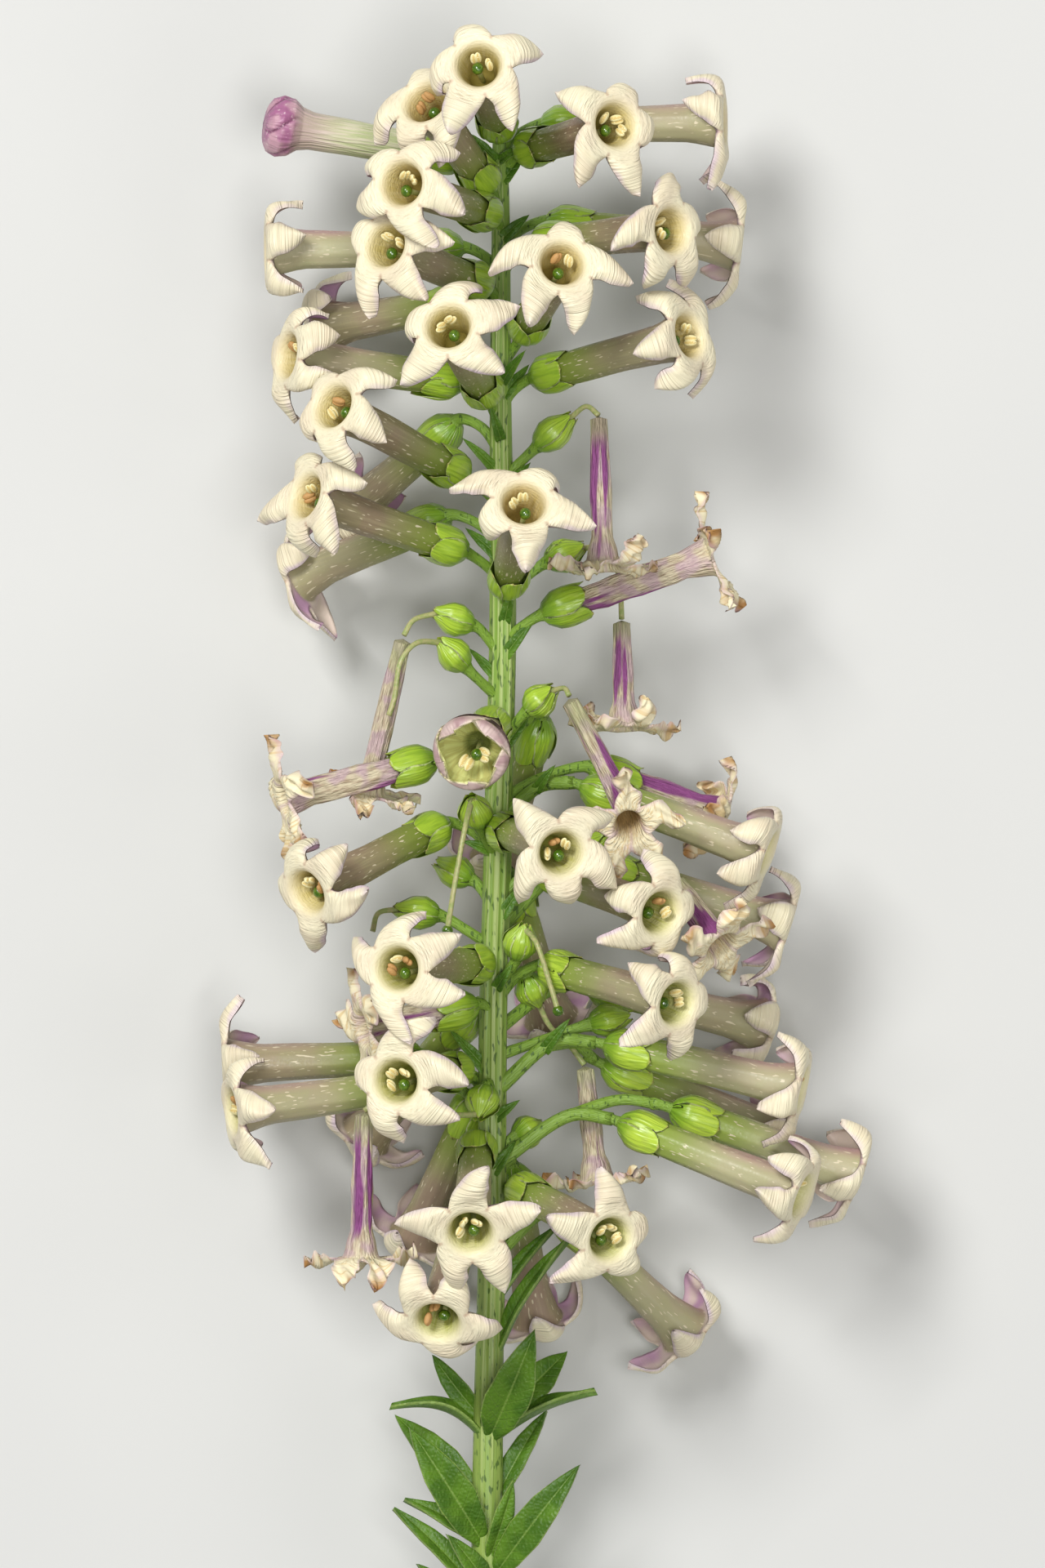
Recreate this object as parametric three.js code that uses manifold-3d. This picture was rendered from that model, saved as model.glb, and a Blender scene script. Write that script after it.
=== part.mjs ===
// A cut spike of honey bells, lying on its back: one green flowering stem with its bracts, leaves,
// calyces, young fruits and styles, and one corolla for each flower, slipped into its calyx.
// Millimetres. The tables below use the spike's own frame: x to the right, y up the stem and z
// towards the face of the spike, with the stem's axis at x = 0, z = 0. The finished model is then
// moved so that the floor under its lowest flowers is z = 0.
import * as THREE from 'three';
import Module from 'manifold-3d';
import { mergeVertices } from 'three/addons/utils/BufferGeometryUtils.js';

const wasm = await Module();
wasm.setup();

// ---------------------------------------------------------------- driving dimensions

const LOBES = 5;
const SIDES = 2 * LOBES;
const FIFTH = 360 / LOBES;
const SECTOR = 360 / SIDES;
const LEAN = 0.8; // a flower that points along y more than this takes z as its "up"

const COROLLA = {
  foot: 1.3, // how far above the calyx base the tube starts
  footRadius: 0.9,
  boreRadius: 0.55,
  waistDepth: 3.4, // below the mouth
  waistRadius: 1.38,
  flareDepth: 0.9,
  flareRadius: 1.85,
  crestRise: 0.1,
  crestRadius: 2.0,
  sinusDrop: 0.2,
  throatDepth: 1.3,
  throatRadius: 1.2,
};
const LOBE = {
  lower: 1.8, // length of the blade's lower half
  upper: 1.8,
  earlyBend: 0.45, // share of the bend that the lower half takes
  halfWidth: 1.28,
  tipHalfWidth: 0.45,
  rise: 0.45, // ridge above the blade's middle
  roll: 0.15, // how far the margins roll under
};
const WITHERED = {
  footRadius: 0.85,
  waistDepth: 2.6,
  waistRadius: 1.05,
  flareDepth: 0.9,
  flareRadius: 0.95,
  crestRadius: 1.2,
  throatDepth: 0.9,
  flatness: 0.72,
};
const CLOSED_BUD = {
  footRadius: 0.9,
  waist: 6, // above the calyx base
  waistRadius: 1.25,
  neckDepth: 2.9, // this and the depths below it are measured from the tip
  neckRadius: 1.35,
  shoulderDepth: 2.1,
  shoulderRadius: 2.2,
  knobDepth: 1.0,
  knobRadius: 2.3,
  crownDepth: 0.2,
  crownRadius: 1.4,
};
const OPENING = {
  waistDepth: 4.4, // every depth is measured from the mouth
  waistRadius: 1.4,
  cupDepth: 2.4,
  cupRadius: 2.7,
  edgeDepth: 0.9,
  edgeRadius: 2.95,
  tipRadius: 2.0,
  notchDepth: 0.3,
  insideDepth: 1.1,
  insideRadius: 2.1,
  throatDepth: 3.2,
  throatRadius: 1.15,
};
const CALYX = {
  neckRadius: 0.5,
  bellyRise: 0.8,
  bellyRadius: 1.9,
  notch: 2.9,
  tip: 3.9,
  rimRadius: 1.75,
  floor: 0.9,
  floorRadius: 1.3, // of the pocket's five-sided floor, to its corners
};
const STYLE = { radius: 0.25, stigmaRadius: 0.46, stigmaBelow: 0.9, stigmaLength: 0.75 };
const OLD_STYLE = { sides: 4, radius: 0.3, foot: 0.6 };
const OLD_STIGMA = { radius: 0.45, hang: [0.1, -0.7, 0.1], widest: 0.15, above: 0.2, below: 0.7 };
const PEDICEL = {
  radius: 0.42,
  drop: 2.4, // how far below its calyx a stalk leaves the stem
  approach: 1.4, // length of its straight end
  elbow: 0.6, // where it bends, as a share of the way from root to straight end
  reach: 2, // a calyx this near to the end of a branch grows from that branch
  setBack: 0.2, // and starts this share of its last stretch before the end
};
const FRUIT = {
  sides: 5,
  radius: 1.3,
  widest: 0.4, // shares of the length
  beak: 0.95,
  beakRadius: 0.35,
  neckRadius: 0.45,
  roundness: 0.2, // how far the rounded ends stand out
};
const FRUIT_STALK = { sides: 4, rootRadius: 0.4, tipRadius: 0.36, inside: 0.6 };
const BRANCH_STEPS = 3;

const BLADE = 0.6; // thickness of leaves and bracts
const FOLD = 0.25; // how far the margins of a blade are raised, as a share of its half width
const LEAF_SHAPE = { shares: [0, 0.45, 1], widths: [0.3, 1, 0.12] };
const BRACT_SHAPE = { shares: [0, 1], widths: [1, 0.35] };
const BRACT_FACE = [0, 0.2, 1];

const BACK = -5; // a mouth below this looks at the table, and its style is left inside the tube
const FLOOR = -12; // the table, under the stem's axis
const RESTING = [13, 26, 32, 39]; // the back flowers that carry the spike, counted from 1
const SETTLING_PASSES = 12;
const WELD = 1e-4; // corners nearer than this are one
const SPECK = 1e-3; // mm3, the largest crumb that a join may leave behind
const CHORD = 0.04; // how far joined faces may be moved to do without slivers

const STEM_SIDES = 8;
const STEM = [
  { y: -8.0, x: -0.2, r: 1.2 },
  { y: 0.0, x: -0.2, r: 1.2 },
  { y: 12.0, x: -0.1, r: 1.1 },
  { y: 22.0, x: 0.1, r: 1.02 },
  { y: 41.0, x: 0.2, r: 1.0 },
  { y: 54.0, x: 0.6, r: 0.98 },
  { y: 70.0, x: 1.0, r: 0.95 },
  { y: 84.0, x: 0.8, r: 0.8 },
  { y: 100.0, x: 0.8, r: 0.62 },
  { y: 105.0, x: 0.7, r: 0.5 },
];

// ---------------------------------------------------------------- flowers
// Each flower runs from its calyx base to the middle of its mouth. lobes gives, for each of the five
// lobes, the azimuth of its tip round the mouth and how far it is bent back: 0 is spread flat, 90
// points back along the tube. Azimuth 0 is up the spike, and 90 is to the left on a flower that faces
// forward. bow pushes the middle of the tube aside.

const FLOWERS = [
  { base: [0.7, 105.6, 0.6], mouth: [-0.8, 110.2, 16.0],
    lobes: [[20, 110], [115, 90], [159, 5], [208, 30], [287, 55]] },
  { base: [0.0, 101.3, 1.2], mouth: [-4.7, 107.3, 10.4],
    lobes: [[17, 105], [121, 50], [170, 95], [200, 40], [300, 135]] },
  { base: [0.2, 99.3, 1.6], mouth: [-6.4, 101.2, 14.6],
    lobes: [[71, 85], [110, 60], [212, 25], [246, 25], [306, 70]] },
  { base: [-0.2, 94.1, 1.4], mouth: [-7.6, 96.8, 12.6],
    lobes: [[60, 90], [168, 25], [222, 25], [275, 40], [350, 120]] },
  { base: [-1.9, 97.0, -0.6], mouth: [-16.4, 96.8, 0.2],
    lobes: [[0, 90], [70, 85], [140, 85], [215, 78], [287, 95]] },
  { base: [2.4, 104.1, 1.2], mouth: [9.2, 105.5, 13.8],
    lobes: [[55, 60], [150, 40], [200, 15], [255, 100], [320, 105]] },
  { base: [3.7, 106.0, -0.6], mouth: [17.2, 106.2, 0.6],
    lobes: [[8, 95], [60, 100], [160, 25], [205, 50], [290, 90]] },
  { base: [3.3, 97.3, 1.2], mouth: [13.3, 97.9, 11.8],
    lobes: [[107, 40], [170, 70], [215, 50], [275, 110], [340, 60]] },
  { base: [4.0, 98.9, -1.2], mouth: [18.4, 97.2, -1.6],
    lobes: [[5, 60], [85, 95], [175, 50], [235, 80], [305, 85]] },
  { base: [2.5, 90.7, 1.4], mouth: [5.3, 95.4, 15.0],
    lobes: [[97, 15], [150, 5], [190, 50], [256, 20], [330, 100]] },
  { base: [-0.2, 86.0, 1.8], mouth: [-3.0, 90.8, 15.6],
    lobes: [[97, 110], [142, 20], [232, 20], [290, 30], [335, 70]] },
  { base: [-1.9, 87.1, 0.6], mouth: [-14.8, 88.9, 6.6],
    lobes: [[60, 90], [165, 50], [250, 80], [303, 95], [350, 90]] },
  { base: [-0.8, 93.3, -1.4], mouth: [-12.4, 91.4, -8.4],
    lobes: [[10, 85], [80, 80], [150, 85], [225, 80], [300, 85]] },
  { base: [-1.8, 80.2, 1.2], mouth: [-11.4, 85.1, 12.4],
    lobes: [[50, 112], [125, 95], [200, 60], [242, 60], [305, 60]] },
  { base: [-2.4, 84.3, -1.8], mouth: [-10.4, 77.6, -8.6],
    lobes: [[15, 80], [90, 75], [160, 80], [230, 80], [300, 75]] },
  { base: [-1.8, 74.6, 1.2], mouth: [-13.4, 78.6, 9.6],
    lobes: [[45, 60], [110, 5], [170, 80], [217, 45], [290, 65]] },
  { base: [-3.0, 77.3, -0.8], mouth: [-14.2, 72.9, -6.4],
    lobes: [[10, 90], [85, 80], [170, 25], [205, 40], [290, 100]] },
  { base: [1.2, 71.9, 2.0], mouth: [2.5, 78.0, 15.6],
    lobes: [[78, 10], [125, 105], [179, 0], [251, 10], [305, 100]] },
  { base: [3.1, 87.4, 0.8], mouth: [14.6, 90.3, 9.4],
    lobes: [[38, 70], [103, 60], [152, 80], [205, 60], [345, 55]] },
  { base: [3.8, 62.6, -1.6], mouth: [0.4, 51.6, -9.0],
    lobes: [[20, 80], [90, 75], [165, 70], [235, 75], [310, 80]] },
  { base: [-3.2, 54.7, 0.8], mouth: [-13.3, 49.7, 10.6],
    lobes: [[10, 100], [75, 110], [160, 30], [268, 30], [315, 70]] },
  { base: [-0.4, 44.4, 1.6], mouth: [-6.7, 44.2, 16.4],
    lobes: [[62, 55], [190, 10], [249, 30], [299, 40], [342, 70]] },
  { base: [-2.1, 36.6, 1.2], mouth: [-6.8, 36.0, 15.2],
    lobes: [[90, 110], [178, 60], [239, 20], [268, 10], [328, 20]] },
  { base: [-4.2, 35.7, 0.8], mouth: [-19.3, 33.7, 4.6],
    lobes: [[75, 85], [140, 75], [205, 50], [268, 60], [345, 85]] },
  { base: [-5.0, 37.6, -2.2], mouth: [-20.0, 36.9, -2.4],
    lobes: [[60, 80], [130, 80], [200, 80], [280, 90], [350, 40]] },
  { base: [-0.9, 41.4, -1.8], mouth: [-9.4, 31.4, -8.8],
    lobes: [[10, 60], [85, 65], [155, 70], [225, 60], [300, 65]] },
  { base: [-0.8, 35.0, -2.0], mouth: [-5.6, 23.8, -8.6],
    lobes: [[20, 65], [90, 60], [160, 65], [235, 70], [305, 60]] },
  { base: [-0.9, 31.5, 2.2], mouth: [-1.4, 25.0, 16.4],
    lobes: [[83, 10], [170, 25], [206, 10], [291, 0], [346, 5]] },
  { base: [-1.7, 26.4, 0.8], mouth: [-3.8, 18.4, 11.6],
    lobes: [[23, 60], [85, 45], [215, 75], [245, 55], [335, 80]] },
  { base: [1.8, 28.1, 1.0], mouth: [8.8, 24.5, 13.4],
    lobes: [[13, 20], [73, 20], [131, 30], [230, 75], [280, 100]] },
  { base: [5.1, 26.1, -1.4], mouth: [14.6, 17.0, -7.4],
    lobes: [[50, 85], [120, 85], [197, 50], [255, 80], [350, 75]] },
  { base: [1.6, 29.6, -2.0], mouth: [3.4, 17.8, -9.0],
    lobes: [[0, 80], [60, 60], [115, 70], [190, 80], [250, 80]] },
  { base: [0.7, 54.3, 1.6], mouth: [5.2, 52.6, 16.0],
    lobes: [[41, 45], [149, 60], [205, 70], [240, 25], [300, 40]] },
  { base: [6.7, 57.5, 1.2], mouth: [20.4, 52.5, 3.6],
    lobes: [[75, 95], [135, 90], [185, 48], [250, 90], [315, 100]] },
  { base: [3.9, 51.3, 1.0], mouth: [12.5, 48.2, 12.2],
    lobes: [[8, 70], [78, 92], [118, 35], [185, 95], [285, 105]] },
  { base: [7.2, 51.9, -1.4], mouth: [21.9, 47.1, -2.2],
    lobes: [[15, 80], [80, 95], [170, 40], [215, 60], [290, 85]] },
  { base: [3.9, 44.3, 1.4], mouth: [13.7, 41.6, 12.4],
    lobes: [[50, 75], [130, 40], [200, 50], [280, 105], [358, 98]] },
  { base: [1.4, 51.0, -2.0], mouth: [4.6, 40.0, -8.7],
    lobes: [[20, 60], [90, 55], [160, 50], [235, 55], [305, 60]] },
  { base: [7.2, 42.9, -2.6], mouth: [20.2, 39.7, -8.6],
    lobes: [[10, 100], [85, 110], [150, 95], [215, 90], [290, 80]] },
  { base: [8.4, 38.5, 0.8], mouth: [22.9, 35.2, 2.8],
    lobes: [[20, 75], [120, 80], [185, 55], [250, 85], [318, 95]] },
  { base: [13.3, 33.8, 0.6], mouth: [27.4, 28.8, -1.6],
    lobes: [[20, 85], [125, 90], [183, 55], [245, 80], [310, 85]] },
  { base: [9.5, 32.8, 1.6], mouth: [22.9, 27.5, 6.0],
    lobes: [[55, 85], [95, 72], [172, 62], [235, 85], [350, 85]] },
  { base: [8.3, 37.0, -2.8], mouth: [21.6, 31.6, -6.4],
    lobes: [[20, 85], [92, 85], [164, 85], [236, 85], [308, 85]] },
];

// Withered corollas, shrunk, flattened and crumpled. hangs is true where the corolla has slipped out of
// its calyx and dangles from the end of a style.
const WITHERED_FLOWERS = [
  { base: [8.0, 84.3, 2.6], mouth: [8.3, 73.4, 4.4], hangs: true,
    lobes: [[20, -30], [75, 10], [120, 30], [255, 5], [300, 60]] },
  { base: [3.8, 70.0, 1.2], mouth: [16.4, 74.4, 1.4],
    lobes: [[0, -20], [70, -10], [150, 0], [200, -20], [290, 20]] },
  { base: [9.7, 69.4, -2.0], mouth: [9.9, 61.6, -1.2], hangs: true,
    lobes: [[45, 10], [90, 20], [120, 60], [268, 0], [330, 60]] },
  { base: [5.9, 63.6, 4.2], mouth: [10.2, 54.4, 8.0], bow: [1.0, -1.4, -1.4], hangs: true,
    lobes: [[0, -10], [80, 20], [160, 0], [215, 10], [270, 0]] },
  { base: [-6.4, 68.0, 3.0], mouth: [-9.0, 56.8, 1.4], hangs: true,
    lobes: [[0, -20], [60, -10], [130, 10], [250, 10], [300, 0]] },
  { base: [-3.9, 59.4, 3.0], mouth: [-15.2, 56.5, 6.0],
    lobes: [[0, 10], [80, 30], [180, -5], [215, 0], [280, 40]] },
  { base: [-0.9, 41.4, 1.0], mouth: [-9.4, 39.6, 4.0],
    lobes: [[20, 20], [80, -10], [150, 30], [220, 20], [300, 10]] },
  { base: [-9.2, 33.4, 8.6], mouth: [-9.4, 22.8, 8.4], hangs: true,
    lobes: [[20, -50], [92, -5], [160, -40], [268, 20], [340, -60]] },
  { base: [13.6, 50.2, 4.4], mouth: [17.0, 45.6, 8.2], hangs: true,
    lobes: [[10, 0], [80, 10], [160, 0], [230, 20], [300, 0]] },
  { base: [7.0, 36.6, -1.6], mouth: [7.9, 28.2, -1.8], hangs: true,
    lobes: [[30, 10], [95, 20], [160, 10], [250, 10], [310, 20]] },
  { base: [7.4, 58.8, -1.6], mouth: [17.2, 55.2, -3.4],
    lobes: [[20, 40], [90, 60], [160, 70], [230, 40], [300, 60]] },
];

const BUD = { base: [-1.5, 103.6, -0.4], mouth: [-16.6, 106.1, 1.6] };
const OPENING_BUD = { base: [0.4, 62.3, 2.4], mouth: [-1.5, 59.6, 12.4] };

// ---------------------------------------------------------------- the green parts

// Branches that carry the long-stalked flowers, each a smooth line through its points.
const BRANCHES = [
  { points: [[0.6, 54.6, 0.2], [3.6, 57.4, 0.4], [6.2, 57.7, 1.1]], r: 0.5 },
  { points: [[0.4, 46.6, -0.3], [4.2, 50.6, -1.2], [6.6, 52.1, -1.4]], r: 0.5 },
  { points: [[0.4, 35.0, 0.2], [4.8, 38.7, 0.3], [7.8, 38.6, 0.7]], r: 0.5 },
  { points: [[0.4, 29.6, 0.4], [6.0, 33.3, 0.7], [9.0, 33.0, 1.4]], r: 0.5 },
  { points: [[5.4, 33.1, 0.6], [9.6, 34.4, 0.0], [12.7, 34.0, 0.4]], r: 0.42 },
  { points: [[4.4, 38.4, 0.2], [6.4, 38.4, -2.2], [7.8, 37.2, -2.6]], r: 0.42 },
  { points: [[0.4, 39.4, -0.3], [4.4, 42.4, -2.2], [6.6, 43.0, -2.5]], r: 0.45 },
  { points: [[0.4, 22.8, -0.3], [3.4, 25.8, -1.0], [4.7, 26.5, -1.2]], r: 0.45 },
];

// Young fruits in their closed calyces, from stalk to beak. style gives the rest of a bare style.
const FRUITS = [
  { base: [3.4, 82.3, 0.6], tip: [6.2, 84.7, 1.2], style: [[7.1, 85.3, 1.9], [7.97, 84.65, 2.55]] },
  { base: [4.1, 73.8, 0.4], tip: [7.0, 75.1, 0.6],
    style: [[8.6, 74.9, 0.0], [9.5, 72.8, -1.0], [9.7, 69.75, -2.0]] },
  { base: [2.7, 62.9, 1.4], tip: [4.8, 64.7, 2.2], style: [[5.5, 64.6, 3.4], [5.8, 64.1, 4.0]] },
  { base: [-1.2, 69.2, 1.0], tip: [-4.3, 70.3, 1.8], style: [[-5.6, 69.6, 2.6], [-6.3, 68.5, 3.0]] },
  { base: [-1.7, 66.1, 1.8], tip: [-3.8, 68.3, 2.6],
    style: [[-5.4, 67.9, 4.4], [-6.5, 66.6, 5.0], [-7.0, 63.8, 4.9], [-7.4, 62.6, 4.9]] },
  { base: [-1.3, 50.5, -1.8], tip: [-4.1, 52.0, -2.4] },
  { base: [-3.7, 47.9, 0.2], tip: [-7.1, 48.5, 0.6],
    style: [[-8.2, 48.1, 1.2], [-8.6, 46.8, 1.6]] },
  { base: [-0.8, 54.6, 2.6], tip: [-1.4, 56.8, 4.6],
    style: [[-1.8, 54.4, 6.0], [-2.6, 50.0, 6.4], [-3.1, 46.9, 6.0]], stigma: true },
  { base: [1.9, 44.8, 1.6], tip: [2.6, 47.5, 3.0],
    style: [[3.4, 46.0, 4.6], [4.4, 43.0, 5.0], [5.0, 41.0, 5.0]], stigma: true },
  { base: [2.6, 43.6, -0.6], tip: [3.7, 41.2, -1.6],
    style: [[4.4, 39.8, -2.0], [5.9, 38.3, -2.0], [6.95, 36.95, -1.62]] },
  { base: [7.3, 39.9, -1.0], tip: [10.4, 40.6, -1.2] },
  { base: [1.8, 31.6, -0.4], tip: [4.0, 32.6, -1.6] },
  { base: [-0.2, 35.4, 2.2], tip: [-0.9, 33.0, 3.6],
    style: [[-2.4, 33.4, 5.2], [-5.6, 34.3, 7.6], [-8.3, 34.3, 8.6], [-9.15, 33.75, 8.6]] },
  { base: [6.9, 52.9, -0.4], tip: [8.8, 54.0, 0.9],
    style: [[10.6, 53.4, 2.6], [12.8, 51.4, 4.0], [13.4, 50.45, 4.3]] },
];

// Small bracts along the stem: where they root, where they point and how wide they are.
const BRACTS = [
  [[0.4, 103.4, 0.6], [-1.6, 105.4, 1.2], 0.9], [[0.8, 103.4, 0.6], [2.8, 104.6, 2.2], 0.8],
  [[0.9, 101.8, 0.4], [2.6, 104.0, -1.0], 1.0], [[0.9, 97.6, 0.5], [2.9, 99.4, 0.2], 1.0],
  [[0.6, 92.6, 0.4], [-1.6, 95.0, -1.4], 1.0], [[1.0, 87.2, 0.6], [2.6, 89.4, 2.6], 1.0],
  [[0.9, 86.0, 0.5], [2.9, 88.4, -0.6], 1.0], [[0.8, 82.9, 0.8], [0.0, 85.4, 1.9], 0.9],
  [[0.5, 80.6, 0.4], [-2.0, 83.0, 0.8], 0.9], [[1.0, 79.0, 0.5], [3.0, 81.2, 0.2], 1.0],
  [[0.7, 74.2, 0.2], [-1.8, 76.4, -1.0], 1.0], [[1.1, 69.5, 0.7], [1.7, 72.4, 1.6], 1.0],
  [[1.1, 67.0, 0.6], [3.4, 69.9, 1.0], 1.0], [[0.7, 65.2, 0.4], [-1.6, 67.6, -0.6], 0.9],
  [[0.9, 60.0, 0.6], [2.9, 62.6, 0.0], 1.0], [[0.3, 52.6, 0.4], [-2.0, 53.4, 0.6], 1.0],
  [[0.8, 47.8, 0.6], [2.6, 50.4, 0.2], 1.0], [[0.2, 43.0, 0.5], [-1.9, 45.3, -0.8], 1.0],
  [[0.5, 42.6, 0.8], [1.7, 44.4, 1.8], 1.0], [[0.1, 36.2, 0.2], [-3.0, 39.6, 0.2], 1.1],
  [[0.4, 33.0, 0.6], [2.2, 34.4, 1.0], 0.9], [[0.2, 29.0, 0.8], [1.9, 31.4, 0.8], 1.0],
  [[3.4, 57.1, 0.5], [4.8, 59.0, 1.4], 0.9], [[4.0, 38.0, 0.4], [5.9, 40.4, 1.2], 1.0],
];

// Leaves: root, tip, width, the way the upper face looks, and how far the middle is arched.
const LEAVES = [
  { root: [0.0, 9.6, 0.5], tip: [3.3, 17.6, 4.2], width: 3.4, face: [-0.1, -0.4, 1], arch: 0.9 },
  { root: [0.2, 10.2, -0.4], tip: [5.7, 15.8, -2.6], width: 2.7, face: [-0.1, 0.1, 1], arch: 0.7 },
  { root: [-0.2, 9.3, 0.2], tip: [-7.3, 11.9, 0.8], width: 2.2, face: [0.2, 1, 0.2], arch: 1.3 },
  { root: [0.1, 9.3, 0.2], tip: [7.8, 13.0, 0.8], width: 2.2, face: [-0.3, 1, 0.2], arch: 0.6 },
  { root: [-0.4, 10.8, -0.2], tip: [-4.2, 15.6, -1.6], width: 1.7, face: [-0.6, 0.5, 0.9], arch: 0.5 },
  { root: [-0.4, 1.6, 0.4], tip: [-5.9, 10.4, 3.0], width: 3.1, face: [0.3, -0.2, 1], arch: 0.8 },
  { root: [0.3, 4.6, -0.2], tip: [4.2, 11.5, -1.6], width: 1.8, face: [-0.4, 0, 1], arch: 0.4 },
  { root: [0.2, -0.8, 0.4], tip: [6.6, 7.7, 2.8], width: 2.7, face: [-0.3, -0.1, 1], arch: 0.7 },
  { root: [-0.5, 1.6, -0.3], tip: [-6.3, 5.0, -0.6], width: 1.7, face: [0.3, 0.8, 1], arch: 0.5 },
  { root: [-0.5, -2.4, -0.4], tip: [-7.1, 4.3, -1.6], width: 1.8, face: [0.4, 0.6, 1], arch: 0.5 },
  { root: [-0.2, 0.6, 0.6], tip: [1.7, 6.6, 2.7], width: 1.7, face: [0.3, -0.3, 1], arch: 0.3 },
  { root: [0.0, -1.8, 0.6], tip: [-3.1, 2.6, 3.3], width: 1.8, face: [0.3, 0.2, 1], arch: 0.5 },
  { root: [-0.5, 4.6, -0.4], tip: [-7.0, 11.0, -4.4], width: 2.4, face: [0.4, -0.1, 1], arch: 0.6 },
  { root: [-0.5, -5.8, 0.0], tip: [-5.3, 0.4, 2.2], width: 2.6, face: [0.5, 0, 1], arch: 0.6 },
  { root: [0.2, -6.0, -0.2], tip: [5.6, -1.4, -2.0], width: 2.8, face: [-0.3, 0.3, 1], arch: 0.6 },
  { root: [0.4, 15.4, 0.2], tip: [5.7, 24.1, 1.2], width: 1.7, face: [-0.7, 0.5, 0.6], arch: 0.7 },
  { root: [0.4, 19.4, 0.0], tip: [4.6, 24.8, -0.8], width: 1.4, face: [-0.6, 0.5, 0.7], arch: 0.4 },
];

// ---------------------------------------------------------------- shapes

const RADIANS = Math.PI / 180;

const vector = (point) => new THREE.Vector3(...point);

/** Points and triangles of one closed surface. */
class Surface {
  constructor() {
    this.points = [];
    this.faces = [];
  }

  add(point) {
    this.points.push(point);
    return this.points.length - 1;
  }

  ring(points) {
    return points.map((point) => this.add(point));
  }

  face(...corners) {
    for (let i = 2; i < corners.length; i += 1) {
      this.faces.push(corners[0], corners[i - 1], corners[i]);
    }
  }

  /** Joins two closed rings of points, where the longer may have twice as many as the other. */
  band(from, to) {
    const long = Math.max(from.length, to.length);
    const a = (i) => from[Math.floor(((i % long) * from.length) / long)];
    const b = (i) => to[Math.floor(((i % long) * to.length) / long)];
    const widens = from.length < to.length;
    for (let i = 0; i < long; i += 1) {
      if (a(i) !== a(i + 1)) this.face(a(i), a(i + 1), b(widens ? i : i + 1));
      if (b(i) !== b(i + 1)) this.face(a(widens ? i + 1 : i), b(i + 1), b(i));
    }
  }

  fan(ring, point) {
    const tip = this.add(point);
    ring.forEach((corner, i) => this.face(corner, ring[(i + 1) % ring.length], tip));
  }

  geometry() {
    const flat = this.points.flatMap((point) => point.toArray());
    const faces = [...this.faces];
    if (volume(this.points, faces) < 0) faces.reverse();
    const geometry = new THREE.BufferGeometry();
    geometry.setAttribute('position', new THREE.Float32BufferAttribute(flat, 3));
    geometry.setIndex(faces);
    return geometry;
  }
}

function volume(points, faces) {
  let six = 0;
  for (let i = 0; i < faces.length; i += 3) {
    const [a, b, c] = [points[faces[i]], points[faces[i + 1]], points[faces[i + 2]]];
    six += a.dot(b.clone().cross(c));
  }
  return six / 6;
}

/** The middle line of a tube, with a frame that turns with it: s is the distance along the line. */
class MiddleLine {
  constructor({ base, mouth, bow = [0, 0, 0] }) {
    const start = vector(base);
    const end = vector(mouth);
    const middle = start.clone().lerp(end, 0.5).addScaledVector(vector(bow), 2);
    this.curve = new THREE.QuadraticBezierCurve3(start, middle, end);
    this.length = this.curve.getLength();
    const heading = end.clone().sub(start).normalize();
    this.up = Math.abs(heading.y) > LEAN ? new THREE.Vector3(0, 0, 1) : new THREE.Vector3(0, 1, 0);
  }

  frame(s) {
    const t = THREE.MathUtils.clamp(s / this.length, 0, 1);
    const axis = this.curve.getTangent(t);
    const origin = this.curve.getPoint(t).addScaledVector(axis, s - t * this.length);
    const first = this.up.clone().addScaledVector(axis, -this.up.dot(axis)).normalize();
    const second = axis.clone().cross(first);
    return { origin, axis, first, second };
  }

  /** The point at distance s, radius r and azimuth, squeezed sideways by flatness. */
  at(s, r, azimuth, flatness = 1) {
    const { origin, first, second } = this.frame(s);
    const turn = azimuth * RADIANS;
    return origin
      .addScaledVector(first, r * Math.cos(turn))
      .addScaledVector(second, r * flatness * Math.sin(turn));
  }

  ring(s, r, spin, sides, flatness = 1) {
    const turn = (i) => spin + (360 * i) / sides;
    return Array.from({ length: sides }, (_, i) => this.at(s, r, turn(i), flatness));
  }
}

/** The azimuth of the first lobe's base: the even spacing that fits the five tips best. */
function evenSpin(lobes) {
  const turns = lobes.map(([azimuth], k) => azimuth - FIFTH * k);
  return turns.reduce((sum, turn) => sum + turn, 0) / LOBES;
}

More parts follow.
